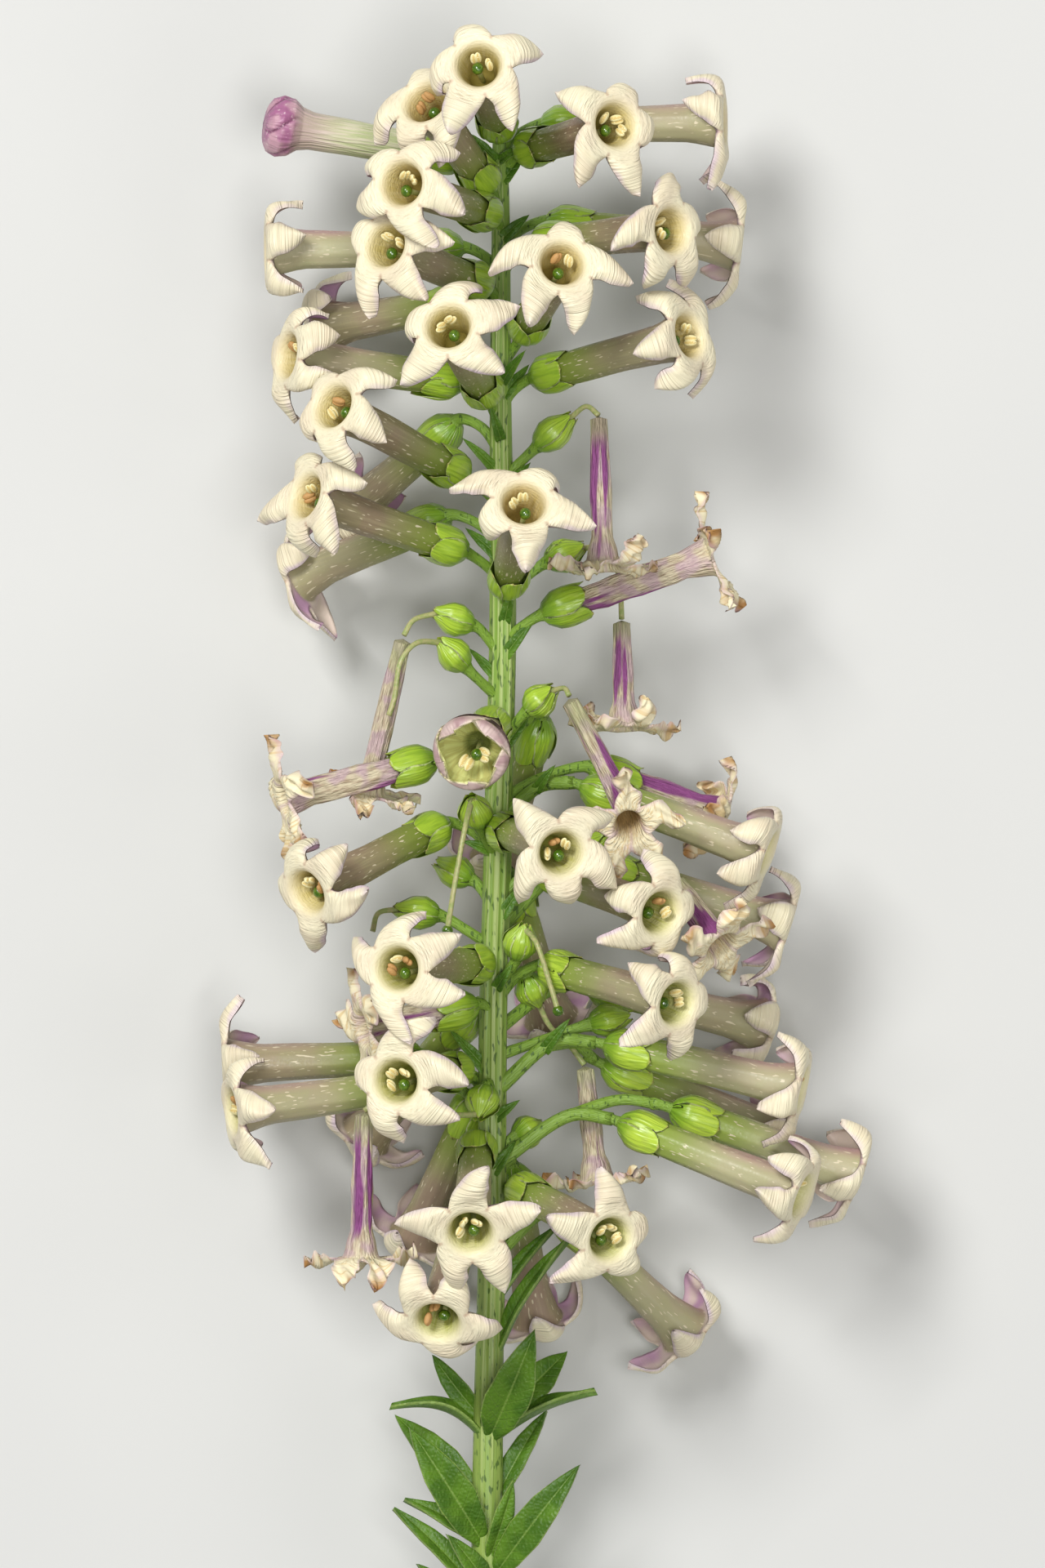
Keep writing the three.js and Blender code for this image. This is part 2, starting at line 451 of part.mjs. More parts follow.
/** One lobe, from the crest and flare rings to its blunt tip, bent back by reflex degrees. */
function addLobe(surface, line, crest, flare, k, centre, [azimuth, reflex], scale) {
  const skew = azimuth - centre;
  const around = (ring) => [-1, 0, 1].map((step) => ring[(2 * k + step + SIDES) % SIDES]);
  const early = reflex * LOBE.earlyBend * RADIANS;
  const late = reflex * RADIANS;
  const lower = LOBE.lower * scale;
  const upper = LOBE.upper * scale;
  const middle = {
    r: COROLLA.crestRadius * scale + lower * Math.cos(early),
    s: line.length - lower * Math.sin(early),
    turn: centre + skew / 2,
    bend: (early + late) / 2,
  };
  const tip = {
    r: middle.r + upper * Math.cos(late),
    s: middle.s - upper * Math.sin(late),
    turn: centre + skew,
    bend: late,
  };
  const spot = ({ r, s, turn, bend }, across, lift) => {
    const { axis, first, second } = line.frame(s);
    const outward = first.clone().multiplyScalar(Math.cos(turn * RADIANS));
    outward.addScaledVector(second, Math.sin(turn * RADIANS));
    const side = axis.clone().cross(outward);
    const normal = outward.clone().multiplyScalar(Math.sin(bend));
    normal.addScaledVector(axis, Math.cos(bend));
    return surface.add(
      line.at(s, r, turn).addScaledVector(side, across).addScaledVector(normal, lift),
    );
  };
  const half = LOBE.halfWidth * scale;
  const left = spot(middle, -half, -LOBE.roll);
  const right = spot(middle, half, -LOBE.roll);
  const ridge = spot(middle, 0, LOBE.rise);
  const tipLeft = spot(tip, -LOBE.tipHalfWidth * scale, 0);
  const tipRight = spot(tip, LOBE.tipHalfWidth * scale, 0);
  const [crestLeft, crestTop, crestRight] = around(crest);
  const [flareLeft, flareTop, flareRight] = around(flare);
  surface.face(crestLeft, left, crestTop);
  surface.face(crestTop, left, ridge);
  surface.face(crestTop, ridge, right);
  surface.face(crestTop, right, crestRight);
  surface.face(left, tipLeft, ridge);
  surface.face(ridge, tipLeft, tipRight);
  surface.face(ridge, tipRight, right);
  surface.face(flareLeft, flareTop, left);
  surface.face(flareTop, right, left);
  surface.face(flareTop, flareRight, right);
  surface.face(left, right, tipRight, tipLeft);
  surface.face(flareLeft, left, crestLeft);
  surface.face(right, flareRight, crestRight);
}

/** A ring whose corners stand alternately under a lobe and under a notch. */
function lobedRing(line, spin, s, notchS, r) {
  return Array.from({ length: SIDES }, (_, i) => line.at(i % 2 ? notchS : s, r, spin + SECTOR * i));
}

/** An open flower: a tube with a through bore for the style, a thick rim and five lobes. */
function corolla({ lobes, ...place }) {
  const line = new MiddleLine(place);
  const { length } = line;
  const spin = evenSpin(lobes);
  const surface = new Surface();
  const foot = surface.ring(line.ring(COROLLA.foot, COROLLA.footRadius, spin, LOBES));
  const waist = surface.ring(
    line.ring(length - COROLLA.waistDepth, COROLLA.waistRadius, spin, LOBES),
  );
  const flare = surface.ring(
    line.ring(length - COROLLA.flareDepth, COROLLA.flareRadius, spin, SIDES),
  );
  const crest = surface.ring(
    lobedRing(line, spin, length + COROLLA.crestRise, length - COROLLA.sinusDrop, COROLLA.crestRadius),
  );
  const throat = surface.ring(
    line.ring(length - COROLLA.throatDepth, COROLLA.throatRadius, spin, LOBES),
  );
  const bore = surface.ring(line.ring(COROLLA.foot, COROLLA.boreRadius, spin, LOBES));
  surface.band(foot, waist);
  surface.band(waist, flare);
  lobes.forEach((lobe, k) => addLobe(surface, line, crest, flare, k, spin + FIFTH * k, lobe, 1));
  surface.band(crest, throat);
  surface.band(throat, bore);
  surface.band(bore, foot);
  return surface.geometry();
}

/** The same flower, its mouth raised or lowered until its lowest lobe touches the table. */
function settled(flower) {
  const mouth = [...flower.mouth];
  for (let pass = 0; pass < SETTLING_PASSES; pass += 1) {
    const geometry = corolla({ ...flower, mouth });
    geometry.computeBoundingBox();
    mouth[2] += FLOOR - geometry.boundingBox.min.z;
  }
  return { ...flower, mouth };
}

/** A withered corolla: a flattened tube, closed at the foot, with shrunken lobes. */
function witheredCorolla({ lobes, hangs = false, ...place }) {
  const line = new MiddleLine(place);
  const { length } = line;
  const spin = evenSpin(lobes);
  const surface = new Surface();
  const squeezed = (s, r) =>
    surface.ring(line.ring(s, r, spin, SIDES, WITHERED.flatness));
  const start = hangs ? 0 : COROLLA.foot;
  const foot = squeezed(start, WITHERED.footRadius);
  const waist = squeezed(length - WITHERED.waistDepth, WITHERED.waistRadius);
  const flare = squeezed(length - WITHERED.flareDepth, WITHERED.flareRadius);
  const crest = squeezed(length, WITHERED.crestRadius);
  surface.band(foot, waist);
  surface.band(waist, flare);
  const scale = WITHERED.crestRadius / COROLLA.crestRadius;
  lobes.forEach((lobe, k) => addLobe(surface, line, crest, flare, k, spin + FIFTH * k, lobe, scale));
  surface.fan(crest, line.at(length - WITHERED.throatDepth, 0, 0));
  surface.fan([...foot].reverse(), line.at(start, 0, 0));
  return surface.geometry();
}

/** A closed tube of rings along a line, each given as [s, radius], with a point at either end. */
function turnedBody(line, spin, sides, rings, start, end) {
  const surface = new Surface();
  const loops = rings.map(([s, r]) => surface.ring(line.ring(s, r, spin, sides)));
  loops.slice(1).forEach((loop, i) => surface.band(loops[i], loop));
  surface.fan([...loops[0]].reverse(), line.at(start, 0, 0));
  surface.fan(loops.at(-1), line.at(end, 0, 0));
  return surface;
}

/** An unopened flower: a slim tube with the folded lobes as a knob at its end. */
function closedBud(place) {
  const line = new MiddleLine(place);
  const { length } = line;
  const rings = [
    [COROLLA.foot, CLOSED_BUD.footRadius],
    [CLOSED_BUD.waist, CLOSED_BUD.waistRadius],
    [length - CLOSED_BUD.neckDepth, CLOSED_BUD.neckRadius],
    [length - CLOSED_BUD.shoulderDepth, CLOSED_BUD.shoulderRadius],
    [length - CLOSED_BUD.knobDepth, CLOSED_BUD.knobRadius],
    [length - CLOSED_BUD.crownDepth, CLOSED_BUD.crownRadius],
  ];
  return turnedBody(line, 0, SIDES, rings, COROLLA.foot, length).geometry();
}

/** A flower just opening: the lobes still stand up and curve in over the throat. */
function openingBud(place) {
  const line = new MiddleLine(place);
  const { length } = line;
  const surface = new Surface();
  const below = (depth, r, sides) => surface.ring(line.ring(length - depth, r, 0, sides));
  const foot = surface.ring(line.ring(COROLLA.foot, COROLLA.footRadius, 0, LOBES));
  const waist = below(OPENING.waistDepth, OPENING.waistRadius, SIDES);
  const cup = below(OPENING.cupDepth, OPENING.cupRadius, SIDES);
  const edge = below(OPENING.edgeDepth, OPENING.edgeRadius, SIDES);
  const tips = surface.ring(
    lobedRing(line, 0, length, length - OPENING.notchDepth, OPENING.tipRadius),
  );
  const inside = below(OPENING.insideDepth, OPENING.insideRadius, SIDES);
  const throat = below(OPENING.throatDepth, OPENING.throatRadius, LOBES);
  const bore = surface.ring(line.ring(COROLLA.foot, COROLLA.boreRadius, 0, LOBES));
  const loops = [foot, waist, cup, edge, tips, inside, throat, bore, foot];
  loops.slice(1).forEach((loop, i) => surface.band(loops[i], loop));
  return surface.geometry();
}

/** The stem's axis at height y. */
function stemAt(y) {
  const upper = Math.max(1, STEM.findIndex((station) => station.y >= y));
  const [a, b] = [STEM[upper - 1], STEM[upper]];
  return new THREE.Vector3(THREE.MathUtils.mapLinear(y, a.y, b.y, a.x, b.x), y, 0);
}

/** Corners of a cross-section of a stalk that runs through the given points. */
function stalkRings(points, radii, sides) {
  const curve = new THREE.CatmullRomCurve3(points, false, 'centripetal');
  const last = points.length - 1;
  return points.map((point, i) => {
    const axis = curve.getTangent(i / last);
    const up = Math.abs(axis.z) > LEAN ? new THREE.Vector3(0, 1, 0) : new THREE.Vector3(0, 0, 1);
    const first = up.addScaledVector(axis, -up.dot(axis)).normalize();
    const second = axis.clone().cross(first);
    return Array.from({ length: sides }, (_, k) => {
      const turn = (2 * Math.PI * k) / sides;
      return point
        .clone()
        .addScaledVector(first, radii[i] * Math.cos(turn))
        .addScaledVector(second, radii[i] * Math.sin(turn));
    });
  });
}

/** A stalk through points, closed at both ends. */
function stalk(points, radii, sides) {
  const surface = new Surface();
  const loops = stalkRings(points, radii, sides).map((ring) => surface.ring(ring));
  loops.slice(1).forEach((loop, i) => surface.band(loops[i], loop));
  surface.face(...[...loops[0]].reverse());
  surface.face(...loops.at(-1));
  return surface.geometry();
}

/** Where a flower's or fruit's stalk leaves its branch: the stem, or the end of a branch nearby. */
function pedicelRoot(base) {
  const near = BRANCHES.find(
    ({ points }) => vector(points.at(-1)).distanceTo(base) < PEDICEL.reach,
  );
  if (!near) return stemAt(base.y - PEDICEL.drop);
  return vector(near.points.at(-1)).lerp(vector(near.points.at(-2)), PEDICEL.setBack);
}

/** A pedicel, its calyx cup and, up the middle, the style with its round stigma. */
function calyx(place, spin, withStyle) {
  const line = new MiddleLine(place);
  const { length } = line;
  const base = vector(place.base);
  const { axis } = line.frame(0);
  const bend = base.clone().addScaledVector(axis, -PEDICEL.approach);
  const root = pedicelRoot(base);
  const middle = root.clone().lerp(bend, PEDICEL.elbow);
  const radii = [PEDICEL.radius, PEDICEL.radius, PEDICEL.radius];
  const cup = new Surface();
  const stalkLoops = stalkRings([root, middle, base], radii, LOBES).slice(0, 2);
  const loops = stalkLoops.map((ring) => cup.ring(ring));
  loops.push(cup.ring(line.ring(0, CALYX.neckRadius, spin, LOBES)));
  cup.face(...[...loops[0]].reverse());
  cup.band(loops[0], loops[1]);
  cup.band(loops[1], nearestTurn(cup, loops[1], loops[2]));
  const belly = cup.ring(line.ring(CALYX.bellyRise, CALYX.bellyRadius, spin, LOBES));
  const rim = cup.ring(lobedRing(line, spin, CALYX.tip, CALYX.notch, CALYX.rimRadius));
  const floor = cup.ring(line.ring(CALYX.floor, CALYX.floorRadius, spin, LOBES));
  cup.band(loops[2], belly);
  cup.band(belly, rim);
  cup.band(rim, floor);
  if (!withStyle) {
    cup.fan(floor, line.at(CALYX.floor, 0, 0));
    return cup.geometry();
  }
  const widest = length - STYLE.stigmaBelow - STYLE.stigmaLength / 2;
  const foot = cup.ring(line.ring(CALYX.floor, STYLE.radius, spin, LOBES));
  const stigma = cup.ring(line.ring(widest, STYLE.stigmaRadius, spin, LOBES));
  cup.band(floor, foot);
  cup.band(foot, stigma);
  cup.fan(stigma, line.at(length - STYLE.stigmaBelow, 0, 0));
  return cup.geometry();
}

/** The ring turned by whole corners so that its first corner lies nearest to the first of another. */
function nearestTurn(surface, from, ring) {
  const gaps = ring.map((_, turn) =>
    from.reduce((sum, corner, i) => {
      const other = surface.points[ring[(i + turn) % ring.length]];
      return sum + surface.points[corner].distanceToSquared(other);
    }, 0),
  );
  const best = gaps.indexOf(Math.min(...gaps));
  return ring.map((_, i) => ring[(i + best) % ring.length]);
}

/** A young fruit wrapped in its calyx, on its stalk, with the old style if it still has one. */
function fruit({ base, tip, style, stigma = false }) {
  const line = new MiddleLine({ base, mouth: tip });
  const { length } = line;
  const rings = [
    [0, FRUIT.neckRadius],
    [length * FRUIT.widest, FRUIT.radius],
    [length * FRUIT.beak, FRUIT.beakRadius],
  ];
  const ends = [-FRUIT.roundness, length + FRUIT.roundness];
  const body = turnedBody(line, 0, FRUIT.sides, rings, ...ends).geometry();
  const root = pedicelRoot(vector(base));
  const inside = line.at(FRUIT_STALK.inside, 0, 0);
  const radii = [FRUIT_STALK.rootRadius, FRUIT_STALK.tipRadius];
  const solids = [body, stalk([root, inside], radii, FRUIT_STALK.sides)];
  if (style) {
    const points = [line.at(length - OLD_STYLE.foot, 0, 0), ...style.map(vector)];
    solids.push(stalk(points, points.map(() => OLD_STYLE.radius), OLD_STYLE.sides));
  }
  if (stigma) {
    const head = vector(style.at(-1));
    const below = head.clone().add(vector(OLD_STIGMA.hang));
    const knob = new MiddleLine({ base: head.toArray(), mouth: below.toArray() });
    const widest = [[OLD_STIGMA.widest, OLD_STIGMA.radius]];
    const round = turnedBody(knob, 0, LOBES, widest, -OLD_STIGMA.above, OLD_STIGMA.below);
    solids.push(round.geometry());
  }
  return solids;
}

/** A leaf: a pointed blade with a sunken midrib, arched, with triangles alike on both faces. */
function leaf({ root, tip, width, face, arch }, { shares, widths }) {
  const start = vector(root);
  const end = vector(tip);
  const along = end.clone().sub(start);
  const look = vector(face);
  const normal = look.addScaledVector(along, -look.dot(along) / along.lengthSq()).normalize();
  const side = along.clone().cross(normal).normalize();
  const surface = new Surface();
  const rows = shares.map((share, i) => {
    const middle = start.clone().lerp(end, share);
    middle.addScaledVector(normal, arch * Math.sin(Math.PI * share));
    const half = (width * widths[i]) / 2;
    const spot = (across, lift) =>
      surface.add(middle.clone().addScaledVector(side, across).addScaledVector(normal, lift));
    const fold = half * FOLD;
    return {
      top: [spot(-half, fold + BLADE / 2), spot(0, BLADE / 2), spot(half, fold + BLADE / 2)],
      under: [spot(-half, fold - BLADE / 2), spot(0, -BLADE / 2), spot(half, fold - BLADE / 2)],
    };
  });
  for (let i = 1; i < rows.length; i += 1) {
    const [a, b] = [rows[i - 1], rows[i]];
    for (let j = 0; j < 2; j += 1) {
      surface.face(a.top[j], a.top[j + 1], b.top[j + 1], b.top[j]);
      surface.face(a.under[j], b.under[j], b.under[j + 1], a.under[j + 1]);
    }
    surface.face(a.under[0], a.top[0], b.top[0], b.under[0]);
    surface.face(a.top[2], a.under[2], b.under[2], b.top[2]);
  }
  const cap = ({ top, under }) => [top[0], under[0], under[1], under[2], top[2], top[1]];
  surface.face(...cap(rows[0]));
  surface.face(...cap(rows.at(-1)).reverse());
  return surface.geometry();
}

// ---------------------------------------------------------------- joining and naming

/** A geometry as a manifold-3d solid. */
function solid(geometry) {
  geometry.deleteAttribute('normal');
  geometry.deleteAttribute('uv');
  const merged = mergeVertices(geometry, WELD);
  return new wasm.Manifold(
    new wasm.Mesh({
      numProp: 3,
      vertProperties: new Float32Array(merged.attributes.position.array),
      triVerts: new Uint32Array(merged.index.array),
    }),
  );
}

/** All the given geometries joined in one. */
function joined(geometries) {
  const whole = geometries.map(solid).reduce((sum, next) => sum.add(next)).simplify(CHORD);
  const [body, ...crumbs] = whole.decompose().sort((a, b) => b.volume() - a.volume());
  if (crumbs.some((crumb) => crumb.volume() > SPECK)) throw new Error('a green part hangs loose');
  const { vertProperties, triVerts } = body.getMesh();
  const geometry = new THREE.BufferGeometry();
  geometry.setAttribute('position', new THREE.BufferAttribute(vertProperties, 3));
  geometry.setIndex(new THREE.BufferAttribute(triVerts, 1));
  return geometry;
}

const GREEN = { color: 0x6f9a2c, roughness: 0.5, metalness: 0 };
const CREAM = { color: 0xefe6c8, roughness: 0.55, metalness: 0 };
const FADED = { color: 0xb59ab0, roughness: 0.8, metalness: 0 };
const PINK = { color: 0xa8688c, roughness: 0.5, metalness: 0 };

const spike = new THREE.Group();

function place(name, geometry, look) {
  const flat = geometry.toNonIndexed();
  flat.computeVertexNormals();
  const mesh = new THREE.Mesh(flat, new THREE.MeshStandardMaterial({ ...look, flatShading: true }));
  mesh.name = name;
  spike.add(mesh);
}

const flowers = FLOWERS.map((flower, i) => (RESTING.includes(i + 1) ? settled(flower) : flower));

function floweringStem() {
  const axis = STEM.map(({ x, y }) => new THREE.Vector3(x, y, 0));
  const parts = [stalk(axis, STEM.map(({ r }) => r), STEM_SIDES)];
  BRANCHES.forEach(({ points, r }) => {
    const curve = new THREE.CatmullRomCurve3(points.map(vector), false, 'centripetal');
    const stations = curve.getPoints(BRANCH_STEPS);
    parts.push(stalk(stations, stations.map(() => r), LOBES));
  });
  flowers.forEach((flower) => {
    parts.push(calyx(flower, evenSpin(flower.lobes), flower.mouth[2] > BACK));
  });
  parts.push(calyx(OPENING_BUD, 0, true), calyx(BUD, 0, false));
  WITHERED_FLOWERS.filter(({ hangs }) => !hangs).forEach((flower) => {
    parts.push(calyx(flower, evenSpin(flower.lobes), false));
  });
  FRUITS.forEach((one) => parts.push(...fruit(one)));
  BRACTS.forEach(([root, tip, width]) => {
    parts.push(leaf({ root, tip, width, face: BRACT_FACE, arch: 0 }, BRACT_SHAPE));
  });
  LEAVES.forEach((blade) => parts.push(leaf(blade, LEAF_SHAPE)));
  return joined(parts);
}

const number = (i) => String(i + 1).padStart(2, '0');

place('flowering_stem', floweringStem(), GREEN);
flowers.forEach((flower, i) => place(`flower_${number(i)}`, corolla(flower), CREAM));
WITHERED_FLOWERS.forEach((flower, i) => {
  place(`withered_flower_${number(i)}`, witheredCorolla(flower), FADED);
});
place('closed_bud', closedBud(BUD), PINK);
place('opening_bud', openingBud(OPENING_BUD), CREAM);

// The floor goes to z = 0 and the middle of the spike to x = 0, y = 0.
const box = new THREE.Box3().setFromObject(spike, true);
spike.position.set(
  -(box.min.x + box.max.x) / 2,
  -(box.min.y + box.max.y) / 2,
  -box.min.z,
);

const honeyBells = new THREE.Group();
honeyBells.add(spike);

export default honeyBells;
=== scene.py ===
"""A cut spike of honey bells on a pale table, seen from straight above.

The spike is grown by rule from a few tables: where each flower sits in its calyx, where its mouth
is and how each of its five lobes lies. Sizes are millimetres in the spike's own frame (x to the
right, y up the stem, z towards the viewer, the stem's axis at x = 0 and z = 0) and are turned into
metres in the frame of the part when a mesh is made.
"""

import math

import bmesh
import bpy
import numpy as np
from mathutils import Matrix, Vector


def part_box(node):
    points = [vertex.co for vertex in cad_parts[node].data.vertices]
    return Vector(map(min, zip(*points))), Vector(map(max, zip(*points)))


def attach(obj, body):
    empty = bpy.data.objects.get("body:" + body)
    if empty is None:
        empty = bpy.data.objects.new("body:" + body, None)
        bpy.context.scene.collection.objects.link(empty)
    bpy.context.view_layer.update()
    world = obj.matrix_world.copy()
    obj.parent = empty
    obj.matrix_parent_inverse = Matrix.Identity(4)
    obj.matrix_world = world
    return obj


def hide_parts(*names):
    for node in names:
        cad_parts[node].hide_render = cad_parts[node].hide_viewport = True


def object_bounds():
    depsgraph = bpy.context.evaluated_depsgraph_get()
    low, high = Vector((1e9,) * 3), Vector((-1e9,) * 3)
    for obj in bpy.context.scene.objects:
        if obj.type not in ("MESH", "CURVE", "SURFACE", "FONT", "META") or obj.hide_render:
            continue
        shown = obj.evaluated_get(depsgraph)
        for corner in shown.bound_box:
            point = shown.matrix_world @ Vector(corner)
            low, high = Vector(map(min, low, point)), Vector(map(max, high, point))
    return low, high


bl_info = {
    "name": "Honey bells spike",
    "version": (1, 0, 0),
    "blender": (4, 5, 0),
    "location": "3D View > Sidebar > Honey bells",
    "description": "Grows a cut spike of honey bells: stem, leaves, calyces, flowers and buds",
    "category": "Object",
}

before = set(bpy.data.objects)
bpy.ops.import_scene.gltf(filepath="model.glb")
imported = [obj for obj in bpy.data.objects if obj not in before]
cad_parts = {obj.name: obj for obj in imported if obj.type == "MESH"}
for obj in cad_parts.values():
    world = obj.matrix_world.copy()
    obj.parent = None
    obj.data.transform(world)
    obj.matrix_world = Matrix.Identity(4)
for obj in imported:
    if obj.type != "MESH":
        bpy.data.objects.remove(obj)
CAD_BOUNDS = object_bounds()

MILLIMETRE = 0.001
SHIFT = (-4.007, -52.573, 12.0)  # from the spike's own frame to the frame of the part
STEM_FOOT = -8.0  # y of the cut end, which ties the two frames together
FRAME_SLACK = 0.05
SEED = 20

LOBES = 5
SECTOR = 72.0
LEAN = 0.8  # a flower that points along y more than this takes z as its "up"

# ---------------------------------------- where everything grows
# Each flower: calyx base, middle of the mouth, then for each lobe the azimuth of its tip and how
# far it is bent back. The last two numbers are how pale its tube is and how young (green) its
# throat is.

FLOWERS = [
    ((0.7, 105.6, 0.6), (-0.8, 110.2, 16.0),
     ((20, 110), (115, 90), (159, 5), (208, 30), (287, 55)), 0.3, 0.3),
    ((0.0, 101.3, 1.2), (-4.7, 107.3, 10.4),
     ((17, 105), (121, 50), (170, 95), (200, 40), (300, 135)), 0.3, 0.2),
    ((0.2, 99.3, 1.6), (-6.4, 101.2, 14.6),
     ((71, 85), (110, 60), (212, 25), (246, 25), (306, 70)), 0.4, 0.2),
    ((-0.2, 94.1, 1.4), (-7.6, 96.8, 12.6),
     ((60, 90), (168, 25), (222, 25), (275, 40), (350, 120)), 0.3, 0.3),
    ((-1.9, 97.0, -0.6), (-16.4, 96.8, 0.2),
     ((0, 90), (70, 85), (140, 85), (215, 78), (287, 95)), 0.9, 0.3),
    ((2.4, 104.1, 1.2), (9.2, 105.5, 13.8),
     ((55, 60), (150, 40), (200, 15), (255, 100), (320, 105)), 0.0, 0.3),
    ((3.7, 106.0, -0.6), (17.2, 106.2, 0.6),
     ((8, 95), (60, 100), (160, 25), (205, 50), (290, 90)), 0.6, 0.3),
    ((3.3, 97.3, 1.2), (13.3, 97.9, 11.8),
     ((107, 40), (170, 70), (215, 50), (275, 110), (340, 60)), 0.2, 0.2),
    ((4.0, 98.9, -1.2), (18.4, 97.2, -1.6),
     ((5, 60), (85, 95), (175, 50), (235, 80), (305, 85)), 0.7, 0.4),
    ((2.5, 90.7, 1.4), (5.3, 95.4, 15.0),
     ((97, 15), (150, 5), (190, 50), (256, 20), (330, 100)), 0.3, 0.2),
    ((-0.2, 86.0, 1.8), (-3.0, 90.8, 15.6),
     ((97, 110), (142, 20), (232, 20), (290, 30), (335, 70)), 0.4, 0.3),
    ((-1.9, 87.1, 0.6), (-14.8, 88.9, 6.6),
     ((60, 90), (165, 50), (250, 80), (303, 95), (350, 90)), 0.6, 0.2),
    ((-0.8, 93.3, -1.4), (-12.4, 91.4, -8.4),
     ((10, 85), (80, 80), (150, 85), (225, 80), (300, 85)), 0.3, 0.4),
    ((-1.8, 80.2, 1.2), (-11.4, 85.1, 12.4),
     ((50, 112), (125, 95), (200, 60), (242, 60), (305, 60)), 0.2, 0.3),
    ((-2.4, 84.3, -1.8), (-10.4, 77.6, -8.6),
     ((15, 80), (90, 75), (160, 80), (230, 80), (300, 75)), 0.3, 0.4),
    ((-1.8, 74.6, 1.2), (-13.4, 78.6, 9.6),
     ((45, 60), (110, 5), (170, 80), (217, 45), (290, 65)), 0.2, 0.2),
    ((-3.0, 77.3, -0.8), (-14.2, 72.9, -6.4),
     ((10, 90), (85, 80), (170, 25), (205, 40), (290, 100)), 0.5, 0.3),
    ((1.2, 71.9, 2.0), (2.5, 78.0, 15.6),
     ((78, 10), (125, 105), (179, 0), (251, 10), (305, 100)), 0.3, 0.1),
    ((3.1, 87.4, 0.8), (14.6, 90.3, 9.4),
     ((38, 70), (103, 60), (152, 80), (205, 60), (345, 55)), 0.4, 0.2),
    ((3.8, 62.6, -1.6), (0.4, 51.6, -9.0),
     ((20, 80), (90, 75), (165, 70), (235, 75), (310, 80)), 0.5, 0.6),
    ((-3.2, 54.7, 0.8), (-13.3, 49.7, 10.6),
     ((10, 100), (75, 110), (160, 30), (268, 30), (315, 70)), 0.2, 0.3),
    ((-0.4, 44.4, 1.6), (-6.7, 44.2, 16.4),
     ((62, 55), (190, 10), (249, 30), (299, 40), (342, 70)), 0.3, 0.7),
    ((-2.1, 36.6, 1.2), (-6.8, 36.0, 15.2),
     ((90, 110), (178, 60), (239, 20), (268, 10), (328, 20)), 0.3, 0.8),
    ((-4.2, 35.7, 0.8), (-19.3, 33.7, 4.6),
     ((75, 85), (140, 75), (205, 50), (268, 60), (345, 85)), 0.6, 0.7),
    ((-5.0, 37.6, -2.2), (-20.0, 36.9, -2.4),
     ((60, 80), (130, 80), (200, 80), (280, 90), (350, 40)), 0.4, 0.5),
    ((-0.9, 41.4, -1.8), (-9.4, 31.4, -8.8),
     ((10, 60), (85, 65), (155, 70), (225, 60), (300, 65)), 0.3, 0.5),
    ((-0.8, 35.0, -2.0), (-5.6, 23.8, -8.6),
     ((20, 65), (90, 60), (160, 65), (235, 70), (305, 60)), 0.3, 0.5),
    ((-0.9, 31.5, 2.2), (-1.4, 25.0, 16.4),
     ((83, 10), (170, 25), (206, 10), (291, 0), (346, 5)), 0.4, 0.8),
    ((-1.7, 26.4, 0.8), (-3.8, 18.4, 11.6),
     ((23, 60), (85, 45), (215, 75), (245, 55), (335, 80)), 0.3, 0.9),
    ((1.8, 28.1, 1.0), (8.8, 24.5, 13.4),
     ((13, 20), (73, 20), (131, 30), (230, 75), (280, 100)), 0.3, 0.9),
    ((5.1, 26.1, -1.4), (14.6, 17.0, -7.4),
     ((50, 85), (120, 85), (197, 50), (255, 80), (350, 75)), 0.7, 0.6),
    ((1.6, 29.6, -2.0), (3.4, 17.8, -9.0),
     ((0, 80), (60, 60), (115, 70), (190, 80), (250, 80)), 0.3, 0.6),
    ((0.7, 54.3, 1.6), (5.2, 52.6, 16.0),
     ((41, 45), (149, 60), (205, 70), (240, 25), (300, 40)), 0.3, 0.7),
    ((6.7, 57.5, 1.2), (20.4, 52.5, 3.6),
     ((75, 95), (135, 90), (185, 48), (250, 90), (315, 100)), 0.7, 0.7),
    ((3.9, 51.3, 1.0), (12.5, 48.2, 12.2),
     ((8, 70), (78, 92), (118, 35), (185, 95), (285, 105)), 0.4, 0.8),
    ((7.2, 51.9, -1.4), (21.9, 47.1, -2.2),
     ((15, 80), (80, 95), (170, 40), (215, 60), (290, 85)), 0.8, 0.7),
    ((3.9, 44.3, 1.4), (13.7, 41.6, 12.4),
     ((50, 75), (130, 40), (200, 50), (280, 105), (358, 98)), 0.5, 0.9),
    ((1.4, 51.0, -2.0), (4.6, 40.0, -8.7),
     ((20, 60), (90, 55), (160, 50), (235, 55), (305, 60)), 0.3, 0.6),
    ((7.2, 42.9, -2.6), (20.2, 39.7, -8.6),
     ((10, 100), (85, 110), (150, 95), (215, 90), (290, 80)), 0.6, 0.7),
    ((8.4, 38.5, 0.8), (22.9, 35.2, 2.8),
     ((20, 75), (120, 80), (185, 55), (250, 85), (318, 95)), 0.8, 0.8),
    ((13.3, 33.8, 0.6), (27.4, 28.8, -1.6),
     ((20, 85), (125, 90), (183, 55), (245, 80), (310, 85)), 0.9, 0.8),
    ((9.5, 32.8, 1.6), (22.9, 27.5, 6.0),
     ((55, 85), (95, 72), (172, 62), (235, 85), (350, 85)), 0.8, 0.8),
    ((8.3, 37.0, -2.8), (21.6, 31.6, -6.4),
     ((20, 85), (92, 85), (164, 85), (236, 85), (308, 85)), 0.6, 0.6),
]

